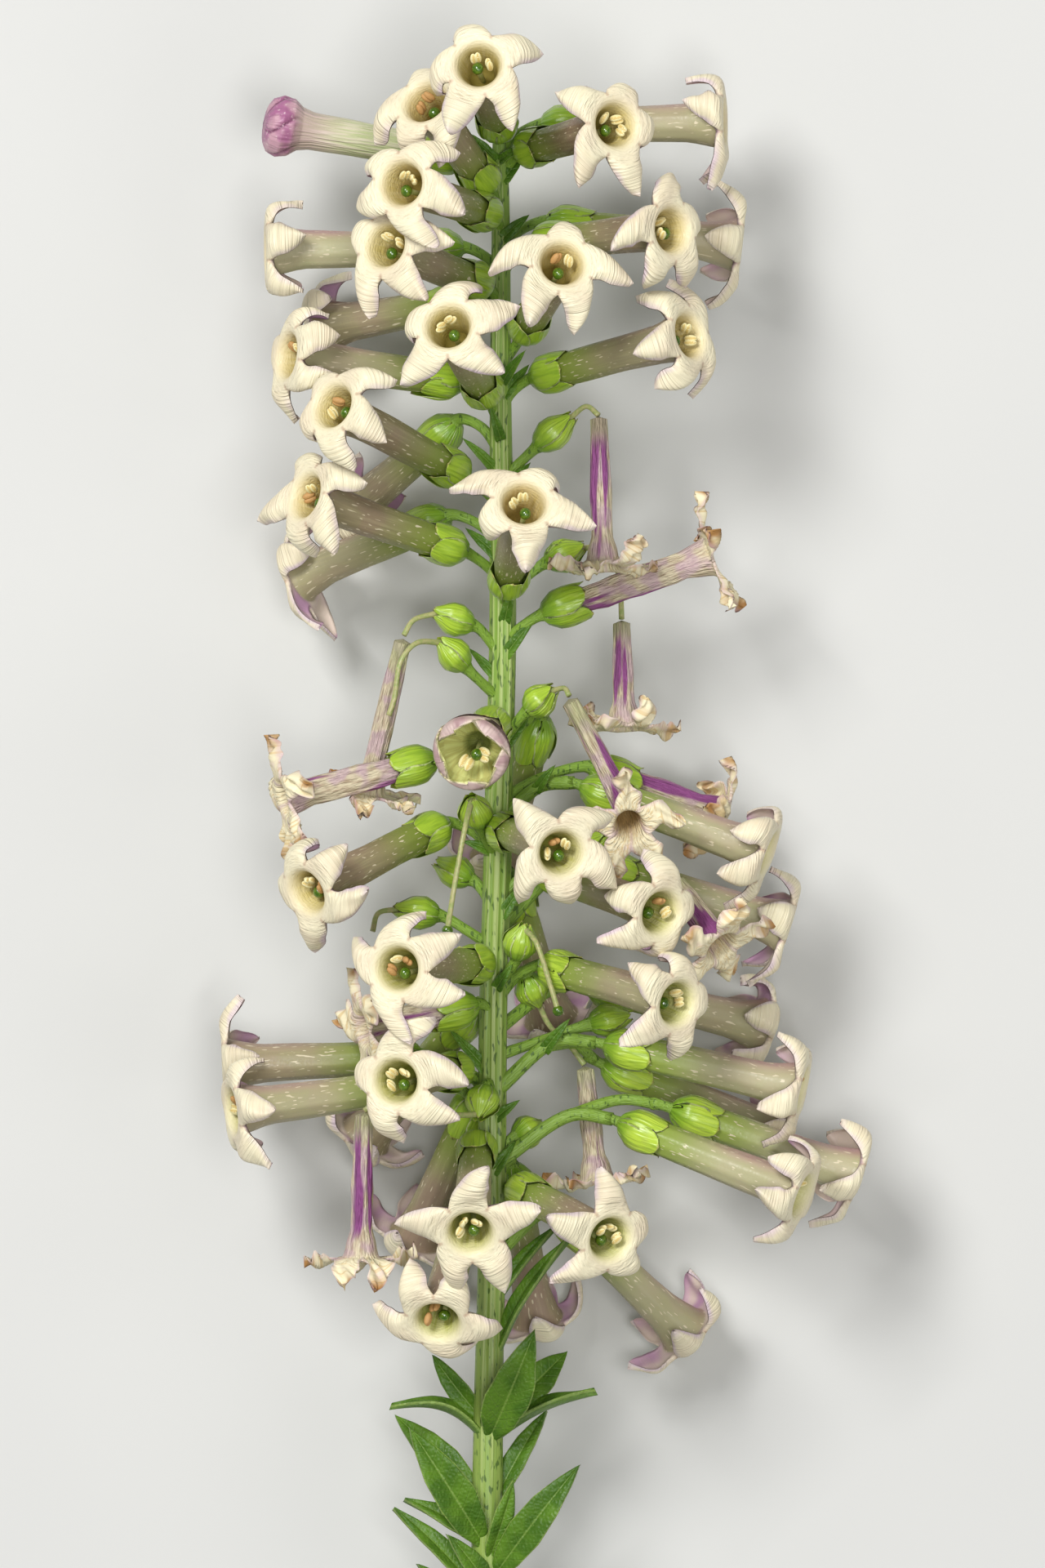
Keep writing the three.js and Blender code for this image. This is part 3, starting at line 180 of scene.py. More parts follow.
# Withered flowers: base, mouth, how the middle is pushed aside, lobes, whether it has slipped out
# of its calyx and hangs, and how purple it is.
WITHERED = [
    ((8.0, 84.3, 2.6), (8.3, 73.4, 4.4), (0, 0, 0),
     ((20, -30), (75, 10), (120, 30), (255, 5), (300, 60)), True, 0.8),
    ((3.8, 70.0, 1.2), (16.4, 74.4, 1.4), (0, 0, 0),
     ((0, -20), (70, -10), (150, 0), (200, -20), (290, 20)), False, 0.5),
    ((9.7, 69.4, -2.0), (9.9, 61.6, -1.2), (0, 0, 0),
     ((45, 10), (90, 20), (120, 60), (268, 0), (330, 60)), True, 0.4),
    ((5.9, 63.6, 4.2), (10.2, 54.4, 8.0), (1.0, -1.4, -1.4),
     ((0, -10), (80, 20), (160, 0), (215, 10), (270, 0)), True, 0.9),
    ((-6.4, 68.0, 3.0), (-9.0, 56.8, 1.4), (0, 0, 0),
     ((0, -20), (60, -10), (130, 10), (250, 10), (300, 0)), True, 0.4),
    ((-3.9, 59.4, 3.0), (-15.2, 56.5, 6.0), (0, 0, 0),
     ((0, 10), (80, 30), (180, -5), (215, 0), (280, 40)), False, 0.5),
    ((-0.9, 41.4, 1.0), (-9.4, 39.6, 4.0), (0, 0, 0),
     ((20, 20), (80, -10), (150, 30), (220, 20), (300, 10)), False, 0.6),
    ((-9.2, 33.4, 8.6), (-9.4, 22.8, 8.4), (0, 0, 0),
     ((20, -50), (92, -5), (160, -40), (268, 20), (340, -60)), True, 0.6),
    ((13.6, 50.2, 4.4), (17.0, 45.6, 8.2), (0, 0, 0),
     ((10, 0), (80, 10), (160, 0), (230, 20), (300, 0)), True, 0.9),
    ((7.0, 36.6, -1.6), (7.9, 28.2, -1.8), (0, 0, 0),
     ((30, 10), (95, 20), (160, 10), (250, 10), (310, 20)), True, 0.4),
    ((7.4, 58.8, -1.6), (17.2, 55.2, -3.4), (0, 0, 0),
     ((20, 40), (90, 60), (160, 70), (230, 40), (300, 60)), False, 1.0),
]

BUD = ((-1.5, 103.6, -0.4), (-16.6, 106.1, 1.6))
OPENING_BUD = ((0.4, 62.3, 2.4), (-1.5, 59.6, 12.4))

RESTING = (13, 26, 32, 39)  # the back flowers that carry the spike, counted from 1
BACK = -5.0  # a flower whose mouth is below this gets neither anthers nor a style

# The stem's axis: y, x and radius.
STEM = (
    (-8.0, -0.2, 1.2), (0.0, -0.2, 1.2), (12.0, -0.1, 1.1), (22.0, 0.1, 1.02), (41.0, 0.2, 1.0),
    (54.0, 0.6, 0.98), (70.0, 1.0, 0.95), (84.0, 0.8, 0.8), (100.0, 0.8, 0.62), (105.0, 0.7, 0.5),
)

# Branches: points and radius.
BRANCHES = (
    (((0.6, 54.6, 0.2), (3.6, 57.4, 0.4), (6.2, 57.7, 1.1)), 0.5),
    (((0.4, 46.6, -0.3), (4.2, 50.6, -1.2), (6.6, 52.1, -1.4)), 0.5),
    (((0.4, 35.0, 0.2), (4.8, 38.7, 0.3), (7.8, 38.6, 0.7)), 0.5),
    (((0.4, 29.6, 0.4), (6.0, 33.3, 0.7), (9.0, 33.0, 1.4)), 0.5),
    (((5.4, 33.1, 0.6), (9.6, 34.4, 0.0), (12.7, 34.0, 0.4)), 0.42),
    (((4.4, 38.4, 0.2), (6.4, 38.4, -2.2), (7.8, 37.2, -2.6)), 0.42),
    (((0.4, 39.4, -0.3), (4.4, 42.4, -2.2), (6.6, 43.0, -2.5)), 0.45),
    (((0.4, 22.8, -0.3), (3.4, 25.8, -1.0), (4.7, 26.5, -1.2)), 0.45),
)

# Young fruits in their closed calyces: base, tip, the points of the old style where it has one, and
# whether a stigma is still on it.
FRUITS = (
    ((3.4, 82.3, 0.6), (6.2, 84.7, 1.2), ((7.1, 85.3, 1.9), (7.97, 84.65, 2.55)), False),
    ((4.1, 73.8, 0.4), (7.0, 75.1, 0.6),
     ((8.6, 74.9, 0.0), (9.5, 72.8, -1.0), (9.7, 69.75, -2.0)), False),
    ((2.7, 62.9, 1.4), (4.8, 64.7, 2.2), ((5.5, 64.6, 3.4), (5.8, 64.1, 4.0)), False),
    ((-1.2, 69.2, 1.0), (-4.3, 70.3, 1.8), ((-5.6, 69.6, 2.6), (-6.3, 68.5, 3.0)), False),
    ((-1.7, 66.1, 1.8), (-3.8, 68.3, 2.6),
     ((-5.4, 67.9, 4.4), (-6.5, 66.6, 5.0), (-7.0, 63.8, 4.9), (-7.4, 62.6, 4.9)), False),
    ((-1.3, 50.5, -1.8), (-4.1, 52.0, -2.4), (), False),
    ((-3.7, 47.9, 0.2), (-7.1, 48.5, 0.6), ((-8.2, 48.1, 1.2), (-8.6, 46.8, 1.6)), False),
    ((-0.8, 54.6, 2.6), (-1.4, 56.8, 4.6),
     ((-1.8, 54.4, 6.0), (-2.6, 50.0, 6.4), (-3.1, 46.9, 6.0)), True),
    ((1.9, 44.8, 1.6), (2.6, 47.5, 3.0),
     ((3.4, 46.0, 4.6), (4.4, 43.0, 5.0), (5.0, 41.0, 5.0)), True),
    ((2.6, 43.6, -0.6), (3.7, 41.2, -1.6),
     ((4.4, 39.8, -2.0), (5.9, 38.3, -2.0), (6.95, 36.95, -1.62)), False),
    ((7.3, 39.9, -1.0), (10.4, 40.6, -1.2), (), False),
    ((1.8, 31.6, -0.4), (4.0, 32.6, -1.6), (), False),
    ((-0.2, 35.4, 2.2), (-0.9, 33.0, 3.6),
     ((-2.4, 33.4, 5.2), (-5.6, 34.3, 7.6), (-8.3, 34.3, 8.6), (-9.15, 33.75, 8.6)), False),
    ((6.9, 52.9, -0.4), (8.8, 54.0, 0.9),
     ((10.6, 53.4, 2.6), (12.8, 51.4, 4.0), (13.4, 50.45, 4.3)), False),
)

# Bracts: root, tip and width.
BRACTS = (
    ((0.4, 103.4, 0.6), (-1.6, 105.4, 1.2), 0.9), ((0.8, 103.4, 0.6), (2.8, 104.6, 2.2), 0.8),
    ((0.9, 101.8, 0.4), (2.6, 104.0, -1.0), 1.0), ((0.9, 97.6, 0.5), (2.9, 99.4, 0.2), 1.0),
    ((0.6, 92.6, 0.4), (-1.6, 95.0, -1.4), 1.0), ((1.0, 87.2, 0.6), (2.6, 89.4, 2.6), 1.0),
    ((0.9, 86.0, 0.5), (2.9, 88.4, -0.6), 1.0), ((0.8, 82.9, 0.8), (0.0, 85.4, 1.9), 0.9),
    ((0.5, 80.6, 0.4), (-2.0, 83.0, 0.8), 0.9), ((1.0, 79.0, 0.5), (3.0, 81.2, 0.2), 1.0),
    ((0.7, 74.2, 0.2), (-1.8, 76.4, -1.0), 1.0), ((1.1, 69.5, 0.7), (1.7, 72.4, 1.6), 1.0),
    ((1.1, 67.0, 0.6), (3.4, 69.9, 1.0), 1.0), ((0.7, 65.2, 0.4), (-1.6, 67.6, -0.6), 0.9),
    ((0.9, 60.0, 0.6), (2.9, 62.6, 0.0), 1.0), ((0.3, 52.6, 0.4), (-2.0, 53.4, 0.6), 1.0),
    ((0.8, 47.8, 0.6), (2.6, 50.4, 0.2), 1.0), ((0.2, 43.0, 0.5), (-1.9, 45.3, -0.8), 1.0),
    ((0.5, 42.6, 0.8), (1.7, 44.4, 1.8), 1.0), ((0.1, 36.2, 0.2), (-3.0, 39.6, 0.2), 1.1),
    ((0.4, 33.0, 0.6), (2.2, 34.4, 1.0), 0.9), ((0.2, 29.0, 0.8), (1.9, 31.4, 0.8), 1.0),
    ((3.4, 57.1, 0.5), (4.8, 59.0, 1.4), 0.9), ((4.0, 38.0, 0.4), (5.9, 40.4, 1.2), 1.0),
)

# Leaves: root, tip, width, the way the upper face looks, and how far the middle is arched.
LEAVES = (
    ((0.0, 9.6, 0.5), (3.3, 17.6, 4.2), 3.4, (-0.1, -0.4, 1), 0.9),
    ((0.2, 10.2, -0.4), (5.7, 15.8, -2.6), 2.7, (-0.1, 0.1, 1), 0.7),
    ((-0.2, 9.3, 0.2), (-7.3, 11.9, 0.8), 2.2, (0.2, 1, 0.2), 1.3),
    ((0.1, 9.3, 0.2), (7.8, 13.0, 0.8), 2.2, (-0.3, 1, 0.2), 0.6),
    ((-0.4, 10.8, -0.2), (-4.2, 15.6, -1.6), 1.7, (-0.6, 0.5, 0.9), 0.5),
    ((-0.4, 1.6, 0.4), (-5.9, 10.4, 3.0), 3.1, (0.3, -0.2, 1), 0.8),
    ((0.3, 4.6, -0.2), (4.2, 11.5, -1.6), 1.8, (-0.4, 0, 1), 0.4),
    ((0.2, -0.8, 0.4), (6.6, 7.7, 2.8), 2.7, (-0.3, -0.1, 1), 0.7),
    ((-0.5, 1.6, -0.3), (-6.3, 5.0, -0.6), 1.7, (0.3, 0.8, 1), 0.5),
    ((-0.5, -2.4, -0.4), (-7.1, 4.3, -1.6), 1.8, (0.4, 0.6, 1), 0.5),
    ((-0.2, 0.6, 0.6), (1.7, 6.6, 2.7), 1.7, (0.3, -0.3, 1), 0.3),
    ((0.0, -1.8, 0.6), (-3.1, 2.6, 3.3), 1.8, (0.3, 0.2, 1), 0.5),
    ((-0.5, 4.6, -0.4), (-7.0, 11.0, -4.4), 2.4, (0.4, -0.1, 1), 0.6),
    ((-0.5, -5.8, 0.0), (-5.3, 0.4, 2.2), 2.6, (0.5, 0, 1), 0.6),
    ((0.2, -6.0, -0.2), (5.6, -1.4, -2.0), 2.8, (-0.3, 0.3, 1), 0.6),
    ((0.4, 15.4, 0.2), (5.7, 24.1, 1.2), 1.7, (-0.7, 0.5, 0.6), 0.7),
    ((0.4, 19.4, 0.0), (4.6, 24.8, -0.8), 1.4, (-0.6, 0.5, 0.7), 0.4),
)

# ---------------------------------------- settings


def length(name, default, description):
    """A size in millimetres that the sidebar shows."""
    return bpy.props.FloatProperty(name=name, default=default, min=0.0, description=description)


def share(name, default, description):
    """A number from 0 to 1 that the sidebar shows."""
    return bpy.props.FloatProperty(
        name=name, default=default, min=0.0, max=1.0, subtype="FACTOR", description=description
    )


def colour(name, default, description):
    """A colour that the sidebar shows."""
    return bpy.props.FloatVectorProperty(
        name=name, default=default, size=3, min=0.0, max=1.0, subtype="COLOR",
        description=description,
    )


class HONEYBELLS_PG_flower(bpy.types.PropertyGroup):
    """Sizes and colours of the fresh flowers, in millimetres."""

    foot: length("Foot", 1.3, "How far above the calyx base the tube starts")
    foot_radius: length("Foot radius", 1.0, "Radius of the tube where it starts")
    waist_radius: length("Waist radius", 1.3, "Radius of the tube at its middle")
    throat_radius: length("Throat radius", 1.42, "Outer radius of the tube under the rim")
    crest_radius: length("Crest radius", 2.05, "Radius of the top of the rolled rim")
    crest_rise: length("Crest rise", 0.12, "Height of the rim above the mouth")
    rim_curl: length("Rim curl", 0.6, "How tightly the rim rolls into the throat")
    lobe_length: length("Lobe length", 3.5, "From the top of the rim to a lobe's tip")
    sinus: length("Sinus", 0.42, "How far beyond the rim two lobes part")
    rise: length("Rise", 0.42, "How far a lobe arches above its margins")
    roll: length("Roll", 0.42, "How far the margins roll under")
    thickness: length("Thickness", 0.46, "Thickness of the rim")
    narrowing: share("Narrowing", 0.66, "How much narrower a lobe gets towards its tip")
    lobe_colour: colour("Lobe", (0.83, 0.76, 0.54), "Upper side of the lobes")
    # Painted shade in the troughs of the wrinkles on the lobes.
    fold_shade_colour: colour("Fold", (0.64, 0.51, 0.26), "Tan in the folds of the lobes")
    edge_colour: colour("Edge", (0.66, 0.52, 0.62), "Margins and tips of the lobes")
    throat_colour: colour("Throat", (0.62, 0.46, 0.17), "Throat of a ripe flower")
    young_colour: colour("Young throat", (0.42, 0.45, 0.10), "Throat of a young flower")
    tube_colour: colour("Tube", (0.21, 0.155, 0.085), "Tube of a flower that faces forward")
    pale_colour: colour("Pale tube", (0.48, 0.47, 0.27), "Tube of a flower at the side")
    neck_colour: colour("Neck", (0.17, 0.22, 0.03), "Tube where it leaves the calyx")
    reverse_colour: colour("Reverse", (0.50, 0.29, 0.44), "Underside of the lobes")


class HONEYBELLS_PG_green(bpy.types.PropertyGroup):
    """Sizes and colours of the green parts, in millimetres."""

    pedicel_radius: length("Pedicel radius", 0.42, "Radius of a flower's stalk")
    calyx_length: length("Calyx length", 3.85, "From its base to the points of the sepals")
    blade: length("Blade", 0.6, "Thickness of leaves")
    style_radius: length("Style radius", 0.2, "Radius of a style")
    stigma_radius: length("Stigma radius", 0.46, "Radius of a stigma")
    stem_colour: colour("Stem", (0.21, 0.33, 0.05), "Stem and stalks")
    stripe_colour: colour("Stripe", (0.40, 0.48, 0.17), "Pale edges of the stem's ridges")
    leaf_colour: colour("Leaf", (0.055, 0.135, 0.010), "Upper side of the leaves")
    margin_colour: colour("Margin", (0.33, 0.45, 0.11), "Leaf margins and midribs")
    calyx_colour: colour("Calyx", (0.33, 0.50, 0.035), "Sepals")
    # Painted shade on the sepals near their base.
    calyx_base_shade: colour("Calyx shade", (0.20, 0.36, 0.025), "Sepals near their base")
    scarious_colour: colour("Sepal edge", (0.62, 0.64, 0.36), "Thin whitish edge of a sepal")
    stigma_colour: colour("Stigma", (0.045, 0.11, 0.006), "Stigmas")
    style_colour: colour("Style", (0.30, 0.36, 0.12), "Styles")


class HONEYBELLS_PG_withered(bpy.types.PropertyGroup):
    """Sizes and colours of the withered flowers, in millimetres."""

    radius: length("Radius", 1.05, "Radius of the shrunken tube")
    crest_radius: length("Crest radius", 1.7, "Radius of the shrunken rim")
    lobe_length: length("Lobe length", 3.1, "Length of a shrunken lobe")
    flatness: share("Flatness", 0.74, "How flat the tube has become")
    wrinkle: length("Wrinkle", 0.12, "Depth of the wrinkles along the tube")
    straw_colour: colour("Straw", (0.66, 0.58, 0.40), "Dry tissue")
    purple_colour: colour("Purple", (0.26, 0.07, 0.22), "Bands where the colour has gathered")
    tip_colour: colour("Tip", (0.40, 0.20, 0.06), "Burnt tips of the lobes")


class HONEYBELLS_PG_bud(bpy.types.PropertyGroup):
    """Sizes and colours of the closed and the opening bud, in millimetres."""

    tube_radius: length("Tube radius", 1.3, "Radius of the closed bud's tube")
    knob_radius: length("Knob radius", 2.3, "Radius of the folded lobes")
    pink_colour: colour("Pink", (0.36, 0.13, 0.25), "Outside of the folded lobes")
    grey_colour: colour("Grey pink", (0.42, 0.27, 0.27), "Outside of the opening bud")
    green_colour: colour("Green", (0.50, 0.55, 0.28), "Tube of the closed bud")
    inside_colour: colour("Inside", (0.62, 0.64, 0.24), "Inside of the opening bud")


class HONEYBELLS_PG_stage(bpy.types.PropertyGroup):
    """The table, the light and the camera."""

    lens: bpy.props.FloatProperty(
        name="Lens", default=400.0, min=1.0, description="Focal length of the camera in millimetres"
    )
    view_height: length("View height", 115.2, "Height of the spike's plane that fills the picture")
    centre_x: bpy.props.FloatProperty(
        name="Centre X", default=2.4, description="Middle of the picture in the spike's frame, mm"
    )
    centre_y: bpy.props.FloatProperty(
        name="Centre Y", default=57.6, description="Middle of the picture in the spike's frame, mm"
    )
    table_size: length("Table size", 1600.0, "Side of the square table top")
    key_power: bpy.props.FloatProperty(
        name="Key", default=4.4, min=0.0, description="Power of the main soft light in watts"
    )
    front_power: bpy.props.FloatProperty(
        name="Front", default=3.3, min=0.0,
        description="Power of the light beside the camera in watts",
    )
    fill_power: bpy.props.FloatProperty(
        name="Fill", default=0.5, min=0.0, description="Power of the second soft light in watts"
    )
    world_strength: bpy.props.FloatProperty(
        name="World", default=0.19, min=0.0, description="Strength of the light from all around"
    )
    table_colour: colour("Table", (0.62, 0.62, 0.60), "Colour of the table top")


# ---------------------------------------- lines and surfaces


def unit(vectors):
    """Each vector made one long."""
    return vectors / np.linalg.norm(vectors, axis=-1, keepdims=True)


def smooth(value, low=0.0, high=1.0):
    """A smooth step from 0 to 1 as value goes from low to high."""
    t = np.clip((np.asarray(value, float) - low) / (high - low), 0.0, 1.0)
    return t * t * (3.0 - 2.0 * t)


def lift(array):
    """The array with one more axis, ready to scale vectors."""
    return np.asarray(array, float)[..., None]


class MiddleLine:
    """The middle line of a tube, with a frame of directions that turns with it."""

    def __init__(self, base, mouth, bow=(0.0, 0.0, 0.0)):
        self.start = np.array(base, float)
        self.end = np.array(mouth, float)
        self.middle = (self.start + self.end) / 2 + 2 * np.array(bow, float)
        steps = self.curve(np.linspace(0.0, 1.0, 200))
        self.length = float(np.linalg.norm(np.diff(steps, axis=0), axis=1).sum())
        heading = unit(self.end - self.start)
        self.up = np.array((0.0, 0.0, 1.0) if abs(heading[1]) > LEAN else (0.0, 1.0, 0.0))

    def curve(self, t):
        """Points of the line, t going from 0 at the base to 1 at the mouth."""
        t = lift(t)
        return (1 - t) ** 2 * self.start + 2 * t * (1 - t) * self.middle + t * t * self.end

    def frame(self, s):
        """Origin, axis and two cross directions at distance s from the base."""
        s = np.asarray(s, float)
        t = np.clip(s / self.length, 0.0, 1.0)
        heading = lift(1 - t) * (self.middle - self.start) + lift(t) * (self.end - self.middle)
        axis = unit(heading)
        origin = self.curve(t) + axis * lift(s - t * self.length)
        first = unit(self.up - axis * lift((axis * self.up).sum(-1)))
        return origin, axis, first, np.cross(axis, first)

    def outward(self, s, azimuth):
        """Origin, axis, the direction of this azimuth and the direction across it."""
        origin, axis, first, second = self.frame(s)
        turn = np.radians(azimuth)
        ahead = first * lift(np.cos(turn)) + second * lift(np.sin(turn))
        return origin, axis, ahead, np.cross(axis, ahead)

    def at(self, s, r, azimuth, flatness=1.0):
        """The point at distance s, radius r and azimuth, squeezed sideways by flatness."""
        origin, _, first, second = self.frame(s)
        turn = np.radians(azimuth)
        across = second * lift(np.asarray(r) * flatness * np.sin(turn))
        return origin + first * lift(np.asarray(r) * np.cos(turn)) + across


class Skin:
    """Points, faces and shading values of one piece, in millimetres in the spike's frame.

    Three values ride on each point. "shade" holds how far along the shape it lies, how far from the
    middle of its blade, and which side it is on; on stalks the last two are ridge and tone. "skin"
    holds the cosine and sine of its azimuth and how far along it lies, and on a leaf the millimetres
    across and along and the leaf's number. "mood" differs from one flower to the next.
    """

    VALUES = ("shade", "skin", "mood")

    def __init__(self):
        self.points = []
        self.values = {name: [] for name in self.VALUES}
        self.faces = []
        self.slots = []
        self.count = 0

    def grid(self, points, shade, skin, mood=(0.0, 0.0, 0.0), slot=0, closed=False, turned=False):
        """Adds a sheet of quads. points has the shape rows x columns x 3."""
        rows, columns = points.shape[:2]
        index = self.count + np.arange(rows * columns).reshape(rows, columns)
        if closed:
            index = np.concatenate([index, index[:, :1]], axis=1)
        quads = np.stack([index[:-1, :-1], index[:-1, 1:], index[1:, 1:], index[1:, :-1]], axis=-1)
        quads = quads.reshape(-1, 4)
        self.faces.append(quads[:, ::-1] if turned else quads)
        self.slots.append(np.full(len(quads), slot))
        self.points.append(points.reshape(-1, 3))
        self.count += rows * columns
        for name, value in zip(self.VALUES, (shade, skin, mood)):
            parts = [np.broadcast_to(np.asarray(part, float), (rows, columns)) for part in value]
            self.values[name].append(np.stack(parts, axis=-1).reshape(-1, 3))

    def make(self, name, materials, nodes):
        """Turns the skin into an object that stands for the given nodes of the part."""
        points = (np.concatenate(self.points) + np.array(SHIFT)) * MILLIMETRE
        faces = np.concatenate(self.faces)
        mesh = bpy.data.meshes.new(name)
        mesh.from_pydata(points.tolist(), [], faces.tolist())
        mesh.polygons.foreach_set("material_index", np.concatenate(self.slots).astype(np.int32))
        for key in self.VALUES:
            attribute = mesh.attributes.new(key, "FLOAT_VECTOR", "POINT")
            attribute.data.foreach_set("vector", np.concatenate(self.values[key]).ravel())
        for material in materials:
            mesh.materials.append(material)
        weld(mesh)
        mesh.shade_smooth()
        piece = bpy.data.objects.new(name, mesh)
        bpy.context.scene.collection.objects.link(piece)
        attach(piece, "root")
        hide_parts(*nodes)
        return piece


WELD = 1.5e-5  # metres: points closer than this are one point


def weld(mesh):
    """Joins the points that two sheets share and turns the faces outward."""
    shape = bmesh.new()
    shape.from_mesh(mesh)
    bmesh.ops.remove_doubles(shape, verts=shape.verts[:], dist=WELD)
    bmesh.ops.dissolve_degenerate(shape, edges=shape.edges[:], dist=WELD / 10)
    bmesh.ops.recalc_face_normals(shape, faces=shape.faces[:])
    shape.to_mesh(mesh)
    shape.free()


def ellipsoid(skin, centre, axis, half_length, radius, slot, squash=1.0, sides=18, rows=11,
              mood=(0.0, 0.0, 0.0)):
    """A small closed egg round centre, long along axis."""
    axis = unit(np.array(axis, float))
    helper = np.array((0.0, 0.0, 1.0) if abs(axis[2]) < LEAN else (1.0, 0.0, 0.0))
    first = unit(np.cross(axis, helper))
    second = np.cross(axis, first)
    down = np.linspace(0.0, math.pi, rows)[:, None]
    round_ = np.linspace(0.0, 2 * math.pi, sides, endpoint=False)[None, :]
    points = (
        np.array(centre, float)
        + lift(-half_length * np.cos(down) + 0 * round_) * axis
        + lift(radius * np.sin(down) * np.cos(round_)) * first
        + lift(radius * squash * np.sin(down) * np.sin(round_)) * second
    )
    shade = (down / math.pi, np.abs(np.cos(round_)), 0.0)
    skin.grid(points, shade, (np.cos(round_), np.sin(round_), down), mood, slot, closed=True)


def even_spin(lobes):
    """The azimuth of the first lobe's base: the even spacing that fits the five tips best."""
    return sum(azimuth - SECTOR * k for k, (azimuth, _) in enumerate(lobes)) / LOBES


# ---------------------------------------- flowers


class LobePath:
    """The middle line of a lobe in its own plane: radius, height and slope at each distance q.

    q is 0 on top of the rim, negative down the throat and positive out along the lobe.
    """

    STEPS = 240
    THROAT_SLOPE = 80.0

    def __init__(self, q_low, q_high, slope, crest_radius, crest_height):
        self.q = np.linspace(q_low, q_high, self.STEPS)
        self.slope = slope(self.q)
        step = self.q[1] - self.q[0]
        middle = (self.slope[1:] + self.slope[:-1]) / 2
        radius = np.concatenate([[0.0], np.cumsum(np.cos(middle) * step)])
        height = np.concatenate([[0.0], np.cumsum(-np.sin(middle) * step)])
        self.radius = radius - np.interp(0.0, self.q, radius) + crest_radius
        self.height = height - np.interp(0.0, self.q, height) + crest_height

    def __call__(self, q):
        """Radius, height above the mouth and slope at distance q."""
        return (
            np.interp(q, self.q, self.radius),
            np.interp(q, self.q, self.height),
            np.interp(q, self.q, self.slope),
        )


def waves(rng, count, low, high):
    """A smooth random function of two arrays, mostly between -1 and 1."""
    terms = [
        (rng.uniform(low, high), rng.uniform(low, high), rng.uniform(0, 2 * math.pi))
        for _ in range(count)
    ]

    def value(a, b):
        total = sum(np.sin(fa * a + fb * b + phase) for fa, fb, phase in terms)
        return total / math.sqrt(count)

    return value


